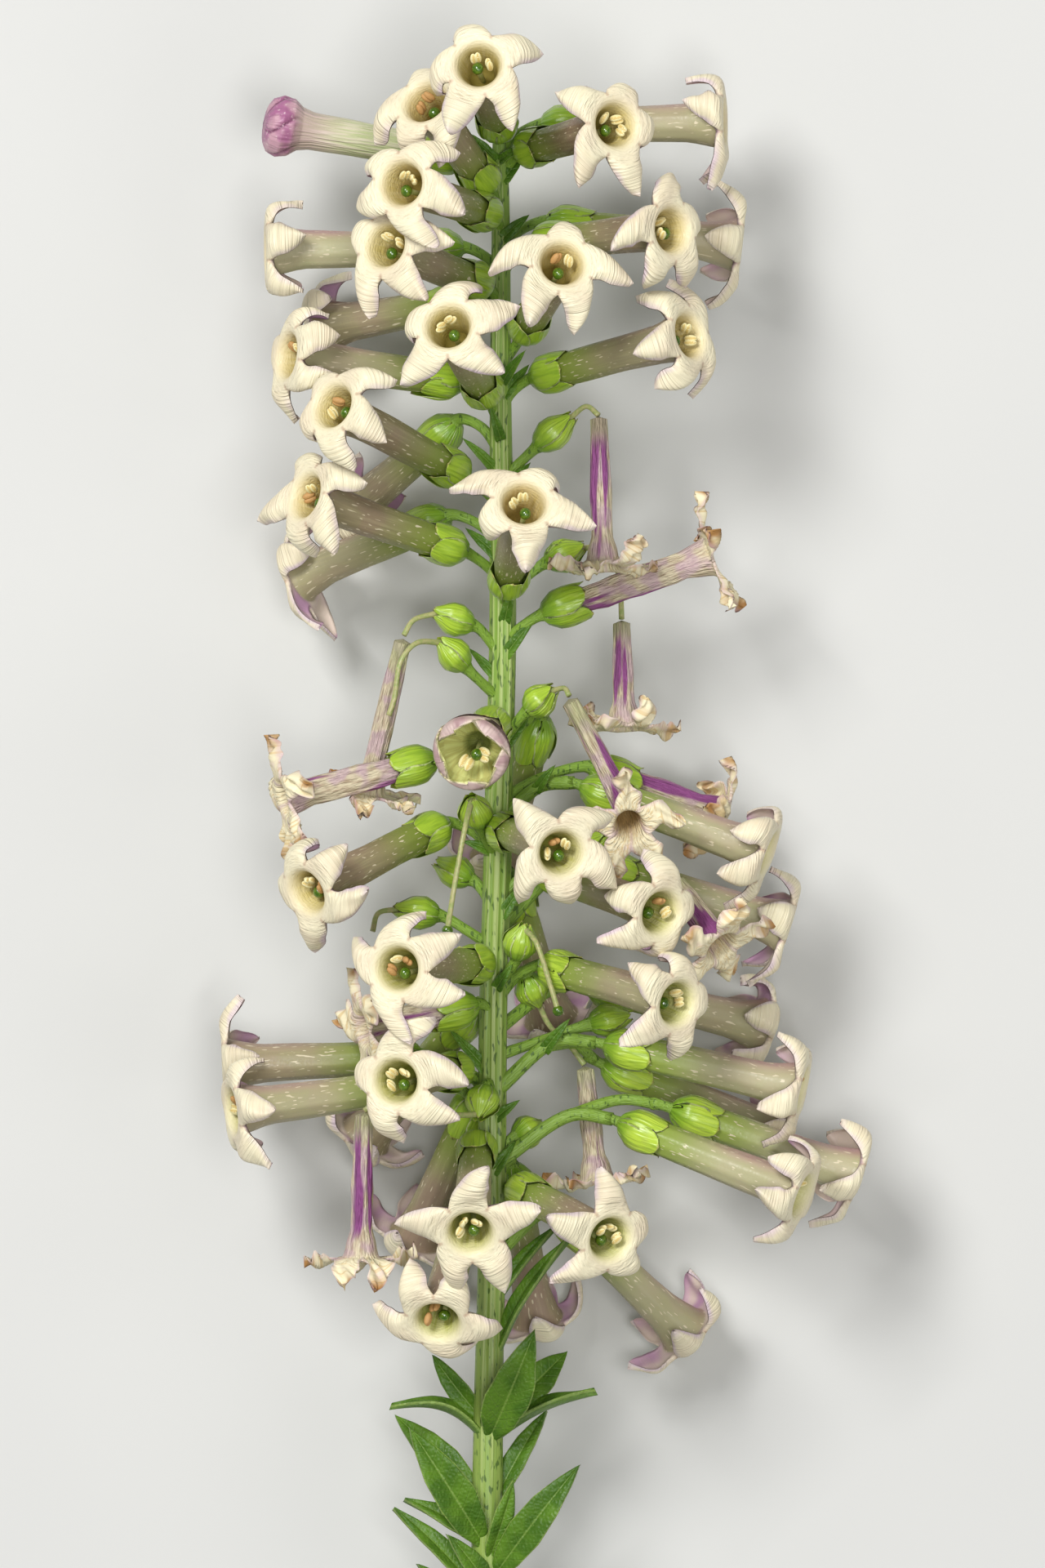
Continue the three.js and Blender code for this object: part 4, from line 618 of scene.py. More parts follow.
class Limb:
    """The throat, the rim and the five lobes of one flower."""

    ACROSS = 14
    THROAT_ROWS = 10
    RIM_ROWS = 8
    LOBE_ROWS = 17
    DEEPEST = 4.2  # how far the open throat goes down, along its wall
    UNDERSIDE = -1.7  # where the undersides of the lobes go over into the tube
    UNDER_ROWS = (-1.1, -0.6, -0.2, 0.15)
    RIM_START = -0.9

    def __init__(self, line, lobes, sizes, rng, mood, crumple=0.0, flatness=1.0):
        self.line = line
        self.lobes = lobes
        self.sizes = sizes
        self.rng = rng
        self.mood = mood
        self.crumple = crumple
        self.flatness = flatness
        self.spin = even_spin(lobes)

    def path(self, reflex):
        """The middle line of a lobe that is bent back by reflex degrees."""
        sizes = self.sizes
        reach = sizes.lobe_length

        def slope(q):
            inner = -math.radians(LobePath.THROAT_SLOPE) * np.tanh(-q / sizes.rim_curl)
            x = np.clip(q / reach, 0.0, 1.0)
            outer = math.radians(reflex) * 1.06 * (1 - (1 - x) ** 2.2)
            return np.where(q < 0, inner, outer)

        return LobePath(-self.DEEPEST, reach, slope, sizes.crest_radius, sizes.crest_rise)

    def shouldered_path(self, k, q, w, shared):
        """Radius, height and slope over lobe k, which shares its shoulders with its neighbours."""
        own = self.path(self.lobes[k][1])(q)
        sides = []
        for step in (-1, 1):
            other = self.lobes[(k + step) % LOBES][1]
            sides.append(self.path((self.lobes[k][1] + other) / 2)(q))
        return [
            middle + shared * (np.where(w < 0, left, right) - middle)
            for middle, left, right in zip(own, *sides)
        ]

    def half_width(self, q, radius, reach, widen):
        """Half the width of the blade: a sector of the rim, then a lobe that narrows to its tip."""
        sinus = self.sizes.sinus
        sector = radius * math.sin(math.radians(SECTOR / 2))
        at_sinus = self.path(0.0)(sinus)[0] * math.sin(math.radians(SECTOR / 2))
        x = np.clip((q - sinus) / (reach - sinus), 0.0, 1.0)
        narrowing = self.sizes.narrowing
        taper = (1 - narrowing * x**1.2) * np.sqrt(1 - x**5) + widen * np.sin(math.pi * x)
        return np.where(q < sinus, sector, at_sinus * taper)

    def sheet(self, k, q, upper):
        """Points of the upper or the under side of lobe k in rows at the distances q."""
        sizes = self.sizes
        azimuth = self.lobes[k][0]
        centre = self.spin + SECTOR * k
        reach = sizes.lobe_length
        w = np.linspace(-1.0, 1.0, self.ACROSS + 1)[None, :]
        q = q[:, None]
        free = smooth(q, sizes.sinus, sizes.sinus + 1.3)
        shared = (1 - free) * smooth(np.abs(w), 0.25, 1.0)
        radius, height, slope = self.shouldered_path(k, q, w, shared)
        lobe = np.random.default_rng(self.seeds[k])
        wave = waves(lobe, 4, 0.8, 2.6)
        half = self.half_width(q, radius, reach, lobe.uniform(-0.05, 0.12))
        twist = lobe.uniform(-0.4, 0.4)
        sway = lobe.uniform(-7.0, 7.0)
        on_lobe = smooth(q, 0.1, sizes.sinus + 0.9)
        wobble = 1 + free * (0.05 + self.crumple) * wave(q * 1.6, w * 0.7 + 3)
        side = half * w * wobble
        ahead = radius - (1 - free) * (radius - np.sqrt(np.maximum(radius**2 - side**2, 0.0)))
        tip = np.clip(q / reach, 0.0, 1.0)
        drift = (azimuth - centre) * tip + sway * (tip * tip - tip)
        turn = centre + drift * (1 - shared)
        origin, axis, forward, across = self.line.outward(self.line.length + height, turn)
        lean = (1 - free) * np.arcsin(np.clip(side / np.maximum(radius, 0.1), -0.9, 0.9))
        facing = forward * lift(np.cos(lean)) + across * lift(np.sin(lean))
        normal = facing * lift(np.sin(slope)) + axis * lift(np.cos(slope))
        arch = sizes.rise * (1 - np.abs(w) ** 2.3) * (1 - 0.45 * tip**3)
        curl = sizes.roll * np.abs(w) ** 4 * (1 - 0.5 * tip)
        bend = 0.10 * wave(q * 0.9, w * 1.3) + self.crumple * wave(q * 2.7, w * 3.1)
        bend = bend * smooth(q, 0.3, 2.0) + twist * side * tip
        raised = on_lobe * (arch - curl + bend * (1 - shared))
        if not upper:
            wall = sizes.thickness * np.interp(
                q, [-2.0, -0.3, 0.6, reach * 0.6, reach], [0.9, 1.0, 1.15, 0.9, 0.35]
            )
            raised = raised - wall * (1 - on_lobe * 0.86 * np.abs(w) ** 2.6)
        points = origin + forward * lift(ahead) + across * lift(side) + normal * lift(raised)
        return self.squeeze(points), np.abs(w) + 0 * q, turn + np.degrees(lean)

    def squeeze(self, points):
        """Flattens the limb sideways along with its tube."""
        if self.flatness == 1.0:
            return points
        origin, _, _, second = self.line.frame(self.line.length)
        sideways = ((points - origin) * second).sum(-1)
        return points - second * lift(sideways * (1 - self.flatness) * 0.5)

    def build(self, skin):
        """Adds the upper sides, the under sides and the margins that join them."""
        sizes = self.sizes
        self.seeds = self.rng.integers(0, 2**31, LOBES)
        reach = sizes.lobe_length
        ease = 1 - (1 - np.linspace(0.0, 1.0, self.LOBE_ROWS)) ** 1.35
        lobe_rows = sizes.sinus + (reach - sizes.sinus) * ease
        rim_rows = np.linspace(self.RIM_START, sizes.sinus, self.RIM_ROWS)[:-1]
        throat_rows = np.linspace(-self.DEEPEST, self.RIM_START, self.THROAT_ROWS)[:-1]
        top = np.concatenate([throat_rows, rim_rows, lobe_rows])
        under = np.concatenate([[self.UNDERSIDE, *self.UNDER_ROWS], lobe_rows])
        for k in range(LOBES):
            upper, upper_w, upper_turn = self.sheet(k, top, True)
            lower, lower_w, lower_turn = self.sheet(k, under, False)
            self.add(skin, upper, top, upper_w, upper_turn, 0.0, False)
            self.add(skin, lower, under, lower_w, lower_turn, 1.0, True)
            free = len(lobe_rows)
            for column, turned in ((0, True), (-1, False)):
                margin = np.stack([upper[-free:, column], lower[-free:, column]], axis=1)
                turns = np.stack([upper_turn[-free:, column], lower_turn[-free:, column]], axis=1)
                edge = np.ones((free, 2))
                self.add(skin, margin, lobe_rows, edge, turns, np.array([[0.0, 1.0]]), turned)
        return top, under

    def add(self, skin, points, q, w, turn, side, turned):
        """Adds one sheet with its shading values."""
        reach = self.sizes.lobe_length
        along = 1 + np.where(q < 0, q / self.DEEPEST, q / reach)[:, None]
        turn = np.radians(turn)
        place = (np.cos(turn), np.sin(turn), q[:, None])
        skin.grid(points, (along, w, side), place, self.mood, turned=turned)

    def azimuths(self):
        """The azimuths of the columns in which the undersides of the lobes meet the tube."""
        w = np.linspace(-1.0, 1.0, self.ACROSS + 1)[:-1]
        sector = np.degrees(np.arcsin(w * math.sin(math.radians(SECTOR / 2))))
        return (self.spin + SECTOR * np.arange(LOBES)[:, None] + sector).reshape(1, -1)

    def outer_edge(self):
        """Radius and height at which the outside of the tube meets the underside of the limb."""
        radius, height, slope = self.path(0.0)(self.UNDERSIDE)
        wall = self.sizes.thickness * np.interp(self.UNDERSIDE, [-2.0, -0.3], [0.9, 1.0])
        return radius - wall * math.sin(slope), height - wall * math.cos(slope)


def tube(skin, limb, rows, mood, bumps=None, flatness=1.0):
    """The outside of a flower's tube. rows gives distance from the base and radius."""
    line = limb.line
    edge_radius, edge_height = limb.outer_edge()
    s = np.array([row[0] for row in rows] + [line.length + edge_height])[:, None]
    r = np.array([row[1] for row in rows] + [edge_radius])[:, None]
    fine = np.linspace(s[0, 0], s[-1, 0], 3 * len(rows) + 4)[:, None]
    radius = np.interp(fine, s[:, 0], r[:, 0])
    azimuth = limb.azimuths()
    turn = np.radians(azimuth)
    fade = smooth(line.length + edge_height - fine, 0.0, 1.5)
    if bumps is not None:
        radius = radius + fade * bumps(turn, fine)
    squash = 1 - (1 - flatness) * (0.5 + 0.5 * fade)
    points = line.at(fine + 0 * turn, radius + 0 * turn, azimuth + 0 * fine, squash)
    along = (fine - s[0, 0]) / (s[-1, 0] - s[0, 0]) * (1 + Limb.UNDERSIDE / Limb.DEEPEST)
    place = (np.cos(turn), np.sin(turn), fine - s[-1, 0] + Limb.UNDERSIDE)
    skin.grid(points, (along, 0.0, 1.0), place, mood, closed=True)
    return float(fine[0, 0] - s[-1, 0] + Limb.UNDERSIDE)


def cap(skin, line, s, radius, depth, shade, far, mood, azimuth, turned=False, flatness=1.0):
    """Closes a tube at distance s, all but a pinhole, with a shallow cone; far shades its rim."""
    shares = np.array([[1.0], [0.6], [0.05]])
    points = line.at(s + depth * (1 - shares) + 0 * azimuth, radius * shares, azimuth, flatness)
    turn = np.radians(azimuth)
    skin.grid(points, shade, (np.cos(turn), np.sin(turn), far), mood, 0, True, turned)


def evenly(count):
    """count azimuths evenly round a tube."""
    return np.linspace(0.0, 360.0, count, endpoint=False)[None, :]


def corolla(name, number, row, sizes, materials):
    """One fresh flower: tube, rim, throat, five lobes and, unless it is a back one, anthers."""
    base, mouth, lobes, pale, young = row
    rng = np.random.default_rng(SEED + number)
    line = MiddleLine(base, mouth)
    mood = (young, pale, rng.uniform(0.0, 1.0))
    limb = Limb(line, lobes, sizes, rng, mood)
    skin = Skin()
    limb.build(skin)
    ribs = waves(rng, 3, 0.4, 0.9)

    def bumps(turn, s):
        return 0.02 * np.cos(10 * turn) + 0.03 * ribs(np.cos(turn) * 3, s)

    middle = line.length * 0.55
    rows = ((sizes.foot, sizes.foot_radius), (4.0, 1.24), (middle, sizes.waist_radius),
            (line.length - 2.6, sizes.throat_radius))
    far = tube(skin, limb, rows, mood, bumps)
    radius, height, _ = limb.path(0.0)(-Limb.DEEPEST)
    azimuth = limb.azimuths()
    cap(skin, line, line.length + height, radius, -0.6, (0.0, 0.0, 0.0), -Limb.DEEPEST, mood,
        azimuth)
    cap(skin, line, sizes.foot, sizes.foot_radius, 0.0, (0.0, 0.0, 1.0), far, mood, azimuth, True)
    if mouth[2] > BACK:
        anthers(skin, line, number, rng)
    return skin.make(name, materials, [name])


def stigma_lean(number):
    """The azimuth towards which a flower's stigma leans; its anthers stand on the other side."""
    return 180.0 + float(np.random.default_rng(SEED * 13 + number).uniform(-75.0, 75.0))


def anthers(skin, line, number, rng):
    """Two or three bean-shaped anthers beside the stigma, each in two halves, some gone brown."""
    count = int(rng.choice((2, 2, 3)))
    middle = stigma_lean(number) + 180.0
    for i in range(count):
        azimuth = middle + 70.0 * (i - (count - 1) / 2) + rng.uniform(-10.0, 10.0)
        depth = line.length - rng.uniform(0.4, 1.0)
        origin, axis, ahead, across = line.outward(depth, azimuth)
        heading = axis * 0.6 + across * rng.uniform(-0.7, 0.7) + ahead * rng.uniform(0.0, 0.5)
        beside = unit(np.cross(heading, ahead))
        old = float(rng.uniform() < 0.15)
        for side in (-0.17, 0.17):
            centre = origin + ahead * 0.76 + beside * side
            ellipsoid(skin, centre, heading, 0.5, 0.25, 1, 0.9, 14, 9, mood=(old, 0.0, 0.0))


class HONEYBELLS_OT_flowers(bpy.types.Operator):
    """Grows the fresh flowers, one corolla in each calyx"""

    bl_idname = "honeybells.flowers"
    bl_label = "Fresh flowers"

    def execute(self, context):
        sizes = context.scene.honeybells_flower
        materials = [petal_material(sizes), anther_material()]
        for number, row in enumerate(FLOWERS, 1):
            if number in RESTING:
                row = settled(row, number)
            row = drawn_in(row, f"flower_{number:02d}")
            corolla(f"flower_{number:02d}", number, row, sizes, materials)
        return {"FINISHED"}


RESTING_LIFT = 0.35  # fine lobes are fuller than the part's, so these mouths sit a little higher
OUTERMOST = 0.7  # a flower of the part this near to a side of the box counts as touching it
DRAWN_IN = 0.45  # its finer lobes are kept inside the box by moving the mouth in by this much


def settled(row, number):
    """The row with its mouth lifted, once the part's own flower is found to touch the table."""
    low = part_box(f"flower_{number:02d}")[0].z / MILLIMETRE
    if abs(low) > FRAME_SLACK:
        raise RuntimeError(f"flower {number} doesn't rest on the table")
    base, mouth, *rest = row
    return (base, (mouth[0], mouth[1], mouth[2] + RESTING_LIFT), *rest)


def drawn_in(row, name):
    """The row with its mouth moved away from the sides of the box that the flower reaches."""
    base, mouth, *rest = row
    mouth = np.array(mouth, float)
    for axis in range(3):
        low = (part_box(name)[0][axis] - CAD_BOUNDS[0][axis]) / MILLIMETRE
        high = (CAD_BOUNDS[1][axis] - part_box(name)[1][axis]) / MILLIMETRE
        if high < OUTERMOST:
            mouth[axis] -= DRAWN_IN
        elif low < OUTERMOST and axis < 2:
            mouth[axis] += DRAWN_IN
    return (base, tuple(mouth), *rest)


class HONEYBELLS_OT_withered(bpy.types.Operator):
    """Grows the withered flowers, shrunk, flattened and crumpled"""

    bl_idname = "honeybells.withered"
    bl_label = "Withered flowers"

    def execute(self, context):
        sizes = context.scene.honeybells_withered
        materials = [withered_material(sizes)]
        for number, row in enumerate(WITHERED, 1):
            withered(f"withered_flower_{number:02d}", number, row, sizes, materials)
        return {"FINISHED"}


class Shrunk:
    """The sizes of a limb that has withered."""

    def __init__(self, sizes):
        self.lobe_length = sizes.lobe_length
        self.crest_radius = sizes.crest_radius
        self.crest_rise = 0.0
        self.rim_curl = 0.5
        self.sinus = 0.15
        self.rise = 0.2
        self.roll = 0.3
        self.thickness = 0.22
        self.narrowing = 0.3


def withered(name, number, row, sizes, materials):
    """One old corolla."""
    base, mouth, bow, lobes, hangs, purple = row
    rng = np.random.default_rng(SEED * 7 + number)
    line = MiddleLine(base, mouth, bow)
    mood = (0.0, purple, rng.uniform(0.0, 1.0))
    limb = Limb(line, lobes, Shrunk(sizes), rng, mood, crumple=0.34, flatness=sizes.flatness)
    skin = Skin()
    limb.build(skin)
    folds = waves(rng, 5, 1.2, 2.6)
    drift = waves(rng, 3, 0.3, 0.8)

    def bumps(turn, s):
        wander = turn * 4 + 0.6 * drift(np.cos(turn), s)
        creases = np.abs(np.sin(wander)) - 0.5
        return sizes.wrinkle * (creases + 0.5 * folds(np.cos(turn) * 2.5, s) * 0.6)

    start = 0.0 if hangs else 1.3
    rows = ((start, 0.8), (line.length * 0.5, sizes.radius),
            (line.length - 2.0, sizes.radius * 0.95))
    far = tube(skin, limb, rows, mood, bumps, flatness=sizes.flatness)
    radius, height, _ = limb.path(0.0)(-Limb.DEEPEST)
    azimuth = limb.azimuths()
    cap(skin, line, line.length + height, radius, -0.4, (0.0, 0.0, 0.0), -Limb.DEEPEST, mood,
        azimuth, flatness=sizes.flatness)
    cap(skin, line, start, 0.8, -0.25, (0.0, 0.0, 1.0), far, mood, azimuth, True, sizes.flatness)
    return skin.make(name, materials, [name])


class HONEYBELLS_OT_buds(bpy.types.Operator):
    """Grows the closed bud and the opening bud"""

    bl_idname = "honeybells.buds"
    bl_label = "Buds"

    def execute(self, context):
        sizes = context.scene.honeybells_bud
        closed_bud(sizes, [bud_material(sizes)])
        opening_bud([opening_material(sizes), anther_material()])
        return {"FINISHED"}


BUD_FOOT = 1.3  # how far above the calyx base a bud's tube starts


def closed_bud(sizes, materials):
    """A slim tube with the five folded lobes wrapped into a knob at its end."""
    line = MiddleLine(*BUD)
    end = line.length
    stations = np.array([
        (BUD_FOOT, 0.9), (3.5, 1.15), (7.0, sizes.tube_radius),
        (end - 3.6, sizes.tube_radius + 0.08),
        (end - 2.7, 1.62), (end - 2.0, 2.16), (end - 1.2, sizes.knob_radius), (end - 0.5, 2.0),
        (end - 0.12, 1.35), (end, 0.35),
    ])
    tube_rows = np.linspace(BUD_FOOT, end - 3.0, 22)
    s = np.concatenate([tube_rows, np.linspace(end - 2.9, end, 30)])[:, None]
    azimuth = evenly(80)
    turn = np.radians(azimuth)
    radius = np.interp(s, stations[:, 0], stations[:, 1])
    head = smooth(s, end - 3.0, end - 1.6)
    swirl = turn * LOBES / 2 + 1.1 * (s - end + 2.0) * head
    seams = 1 - 0.13 * head * np.exp(-((np.sin(swirl)) ** 2) / 0.05)
    lump = waves(np.random.default_rng(SEED), 4, 0.6, 1.6)
    radius = radius * seams * (1 + 0.025 * lump(np.cos(turn) * 2, s))
    skin = Skin()
    skin.grid(
        line.at(s + 0 * turn, radius, azimuth + 0 * s),
        ((s - BUD_FOOT) / (end - BUD_FOOT), np.abs(np.sin(swirl)), head),
        (np.cos(turn), np.sin(turn), s), closed=True,
    )
    cap(skin, line, BUD_FOOT, 0.9, 0.0, (0.0, 0.0, 0.0), BUD_FOOT, (0, 0, 0), azimuth, True)
    cap(skin, line, end, 0.35, 0.05, (1.0, 0.5, 1.0), end, (0, 0, 0), azimuth)
    skin.make("closed_bud", materials, ["closed_bud"])


def opening_bud(materials):
    """A cup whose five lobes overlap and still curve in over the throat."""
    line = MiddleLine(*OPENING_BUD)
    end = line.length
    skin = Skin()
    rng = np.random.default_rng(SEED + 99)
    azimuth = evenly(70)
    turn = np.radians(azimuth)
    outside = np.array([(BUD_FOOT, 1.0), (end - 4.4, 1.35), (end - 3.4, 1.7), (end - 2.4, 2.5),
                        (end - 1.6, 2.8)])
    s = np.linspace(BUD_FOOT, end - 1.6, 26)[:, None]
    radius = np.interp(s, outside[:, 0], outside[:, 1])
    around = (np.cos(turn), np.sin(turn))
    skin.grid(line.at(s + 0 * turn, radius + 0 * turn, azimuth + 0 * s),
              ((s - BUD_FOOT) / (end - BUD_FOOT), 0.0, 1.0), (*around, s), closed=True)
    inside = np.array([(end - 1.6, 2.55), (end - 2.3, 2.0), (end - 3.2, 1.15), (end - 4.2, 0.7)])
    s = np.linspace(end - 1.6, end - 4.2, 14)[:, None]
    radius = np.interp(-s, -inside[:, 0], inside[:, 1])
    skin.grid(line.at(s + 0 * turn, radius + 0 * turn, azimuth + 0 * s),
              ((s - end + 4.2) / 4.2, 0.0, 0.0), (*around, s), closed=True)
    cap(skin, line, end - 4.2, 0.7, -0.3, (0.0, 0.0, 0.0), end - 4.2, (0, 0, 0), azimuth)
    cap(skin, line, BUD_FOOT, 1.0, 0.0, (0.0, 0.0, 1.0), BUD_FOOT, (0, 0, 0), azimuth, True)
    for k in range(LOBES):
        folded_lobe(skin, line, end, 20 + SECTOR * k, k, rng)
    for azimuth, r, depth in ((150.0, 0.95, 1.5), (255.0, 0.9, 1.4)):
        origin, axis, ahead, across = line.outward(end - depth, azimuth)
        for side in (-0.24, 0.24):
            ellipsoid(skin, origin + ahead * r + axis * 0.1 + across * side, axis + ahead, 0.62,
                      0.32, 1)
    skin.make("opening_bud", materials, ["opening_bud"])


def folded_lobe(skin, line, end, centre, k, rng):
    """One lobe of the opening bud: it stands up from the cup and bends in at its rounded tip."""
    q = np.linspace(0.0, 1.0, 16)[:, None]
    w = np.linspace(-1.0, 1.0, 15)[None, :]
    half = 52.0 * (1 - q**2.6) ** 0.5 * (1 - 0.1 * q)
    azimuth = centre + half * w + 10 * q
    lap = 0.16 * (w + 1) / 2 + 0.05 * k / LOBES
    wave = waves(rng, 3, 0.8, 1.8)
    radius = np.interp(q, [0.0, 0.35, 0.7, 1.0], [2.72, 2.92, 2.72, 2.2]) - lap
    radius = radius + 0.06 * wave(q * 3, w * 2)
    s = end - 1.7 + np.interp(q, [0.0, 0.35, 0.7, 1.0], [0.0, 0.7, 1.25, 1.55]) + 0 * w
    turn = np.radians(azimuth)
    shade = (1 + q, np.abs(w), 1.0)
    outer = line.at(s, radius, azimuth)
    inner = line.at(s - 0.1, radius - 0.42 * (1 - 0.6 * np.abs(w) ** 3) * (1 - 0.4 * q), azimuth)
    place = (np.cos(turn), np.sin(turn), s)
    skin.grid(outer, shade, place, turned=False)
    skin.grid(inner, (1 + q, np.abs(w), 0.0), place, turned=True)
    for column, turned in ((0, True), (-1, False)):
        rim = np.stack([outer[:, column], inner[:, column]], axis=1)
        skin.grid(rim, (1 + q, 1.0, 0.5), (0.0, 0.0, s[:, :1]), turned=turned)


# ---------------------------------------- green parts


def spline(points, count):
    """count points on a smooth line through the given ones, and its directions there."""
    points = np.array(points, float)
    gaps = np.sqrt(np.linalg.norm(np.diff(points, axis=0), axis=1))
    knots = np.concatenate([[0.0], np.cumsum(gaps)])
    t = np.linspace(0.0, knots[-1], count)
    slopes = np.gradient(points, knots, axis=0)
    i = np.clip(np.searchsorted(knots, t, side="right") - 1, 0, len(knots) - 2)
    h = (knots[i + 1] - knots[i])[:, None]
    u = ((t - knots[i]) / h[:, 0])[:, None]
    line = (
        (1 + 2 * u) * (1 - u) ** 2 * points[i] + u * (1 - u) ** 2 * h * slopes[i]
        + u * u * (3 - 2 * u) * points[i + 1] + u * u * (u - 1) * h * slopes[i + 1]
    )
    return line, unit(np.gradient(line, axis=0))


def stalk(skin, points, radii, sides=14, count=12, slot=0, tone=0.0, ridges=None, mood=(0, 0, 0)):
    """A round stalk through points, closed at both ends."""
    line, axis = spline(points, count)
    share_ = np.linspace(0.0, 1.0, count)
    radius = np.interp(share_, np.linspace(0.0, 1.0, len(radii)), radii)[:, None]
    helper = np.where(np.abs(axis[:, 2:3]) > LEAN, (0.0, 1.0, 0.0), (0.0, 0.0, 1.0))
    first = unit(helper - axis * lift((axis * helper).sum(-1)))
    second = np.cross(axis, first)
    turn = np.linspace(0.0, 2 * math.pi, sides, endpoint=False)[None, :]
    mask = 0.0 * turn + 0.0 * radius
    if ridges is not None:
        mask = ridges(turn, line[:, 1:2])
        radius = radius * (1 + 0.10 * mask)
    points = line[:, None] + first[:, None] * lift(radius * np.cos(turn) + 0 * mask)
    points = points + second[:, None] * lift(radius * np.sin(turn) + 0 * mask)
    place = (np.cos(turn), np.sin(turn), (share_ * 10)[:, None])
    skin.grid(points, (line[:, 1:2] / 110, mask, tone), place, mood, slot, True)
    for end, turned in ((0, True), (-1, False)):
        rim = points[end][None]
        centre = line[end][None, None] + 0 * rim
        skin.grid(np.concatenate([rim, centre]), (line[end, 1] / 110, 0.0, tone + 0.5),
                  (np.cos(turn), np.sin(turn), 0.0), mood, slot, True, turned)


def stem_at(y):
    """The stem's axis at height y."""
    table = np.array(STEM)
    return np.array((np.interp(y, table[:, 0], table[:, 1]), y, 0.0))


def pedicel_root(base):
    """Where a stalk leaves the stem, or a nearby branch just before its end."""
    base = np.array(base, float)
    for points, _ in BRANCHES:
        end, before = np.array(points[-1]), np.array(points[-2])
        if np.linalg.norm(end - base) < 2.0:
            return end + 0.2 * (before - end)
    return stem_at(base[1] - 2.4)


def stem_ridges(turn, y):
    """How strongly a ridge of the stem shows here; a pair runs down from every second bract."""
    total = 0.0
    for i, (root, _, _) in enumerate(BRACTS):
        if i % 2:
            continue
        azimuth = math.atan2(root[0] - stem_at(root[1])[0], root[2]) + 0.5 * math.sin(i * 2.1)
        for offset in (-0.34, 0.34):
            gap = np.angle(np.exp(1j * (turn - azimuth - offset)))
            below = smooth(root[1] - y, -0.5, 0.5) * (1 - smooth(root[1] - y, 22.0, 34.0))
            total = np.maximum(total, np.exp(-((gap / 0.11) ** 2)) * below)
    return total


class HONEYBELLS_OT_stem(bpy.types.Operator):
    """Grows the stem with its branches and the stalks of flowers and fruits"""

    bl_idname = "honeybells.stem"
    bl_label = "Stem and stalks"

    def execute(self, context):
        sizes = context.scene.honeybells_green
        skin = Skin()
        table = np.array(STEM)
        stations = [(x, y, 0.0) for y, x, _ in STEM]
        fine = np.linspace(table[0, 0], table[-1, 0], 60)
        radii = np.interp(fine, table[:, 0], table[:, 2])
        stalk(skin, stations, radii, sides=72, count=170, ridges=stem_ridges)
        for points, radius in BRANCHES:
            stalk(skin, points, (radius * 1.1, radius, radius), 18, 16, tone=0.2)
        places = [(base, mouth, 1.4) for base, mouth, *_ in FLOWERS]
        places += [(base, mouth, 1.4) for base, mouth, *_, hangs, _ in WITHERED if not hangs]
        places += [(*BUD, 1.4), (*OPENING_BUD, 1.4)]
        places += [(base, tip, 0.6) for base, tip, *_ in FRUITS]
        for base, mouth, approach in places:
            pedicel(skin, base, mouth, approach, sizes.pedicel_radius)
        skin.make("stem", [stem_material(sizes)], ["flowering_stem"])
        return {"FINISHED"}


def pedicel(skin, base, mouth, approach, radius):
    """The stalk of one flower or fruit, swelling into the foot of its calyx."""
    base = np.array(base, float)
    heading = unit(np.array(mouth, float) - base)
    root = pedicel_root(base)
    bend = base - heading * approach
    middle = root + 0.6 * (bend - root)
    end = base + heading * 0.5
    radii = (radius * 1.15, radius * 0.95, radius * 0.9, radius, 0.7)
    stalk(skin, (root, middle, base - heading * 0.3, end), radii, 14, 14, tone=0.3)


def sepal(skin, line, centre, k, rng, profile, half_angle, cup_length, mood):
    """One sepal: a broad blade that wraps the tube and ends in a small point."""
    q = np.linspace(0.0, 1.0, 15)[:, None]
    w = np.linspace(-1.0, 1.0, 13)[None, :]
    wave = waves(rng, 4, 1.0, 3.0)
    body = (1 - np.clip((q - 0.58) / 0.42, 0.0, 1.0) ** 2.4) ** 0.6
    half = half_angle * body * (1 + 0.05 * wave(q * 5, w * 2))
    azimuth = centre + half * w + rng.uniform(-4.0, 4.0)
    reach = cup_length * rng.uniform(0.94, 1.02)
    s = q * reach + 0 * w
    over = 0.05 + 0.09 * (k % 2) + 0.05 * w
    radius = np.interp(q, profile[0], profile[1]) + over * smooth(q, 0.1, 0.5)
    keel = 0.06 * np.exp(-((w / 0.16) ** 2)) * (1 - q)
    radius = radius + keel + 0.03 * wave(q * 3, w) * q
    turn = np.radians(azimuth)
    place = (np.cos(turn), np.sin(turn), s)
    outer = line.at(s, radius, azimuth)
    inner = line.at(s, radius - 0.13 * (1 - 0.8 * np.abs(w) ** 3) * (1 - 0.6 * q), azimuth)
    skin.grid(outer, (q, np.abs(w) + 0 * q, 1.0), place, mood)
    skin.grid(inner, (q, np.abs(w) + 0 * q, 0.0), place, mood, turned=True)
    for column, turned in ((0, True), (-1, False)):
        rim = np.stack([outer[:, column], inner[:, column]], axis=1)
        skin.grid(rim, (q, 1.0, 0.5), (0.0, 0.0, s[:, :1]), mood, turned=turned)


# Profiles of a calyx: how far along the sepal, and its radius there. Spreads are half the angle
# that one sepal covers.
CUP_PROFILE = ((0.0, 0.08, 0.3, 0.55, 0.75, 0.92, 1.0), (0.42, 0.9, 1.42, 1.46, 1.38, 1.3, 1.31))
FRUIT_PROFILE = ((0.0, 0.1, 0.35, 0.6, 0.85, 1.0), (0.4, 0.85, 1.2, 1.1, 0.55, 0.3))
CUP_SPREAD = 47.0
LIME_HEIGHTS = (70.0, 30.0)  # on the right the calyces turn lime from this height down to that
LIME_LEFT = 0.2
FRUIT_SPREAD = 50.0
FRUIT_RADIUS = 0.95


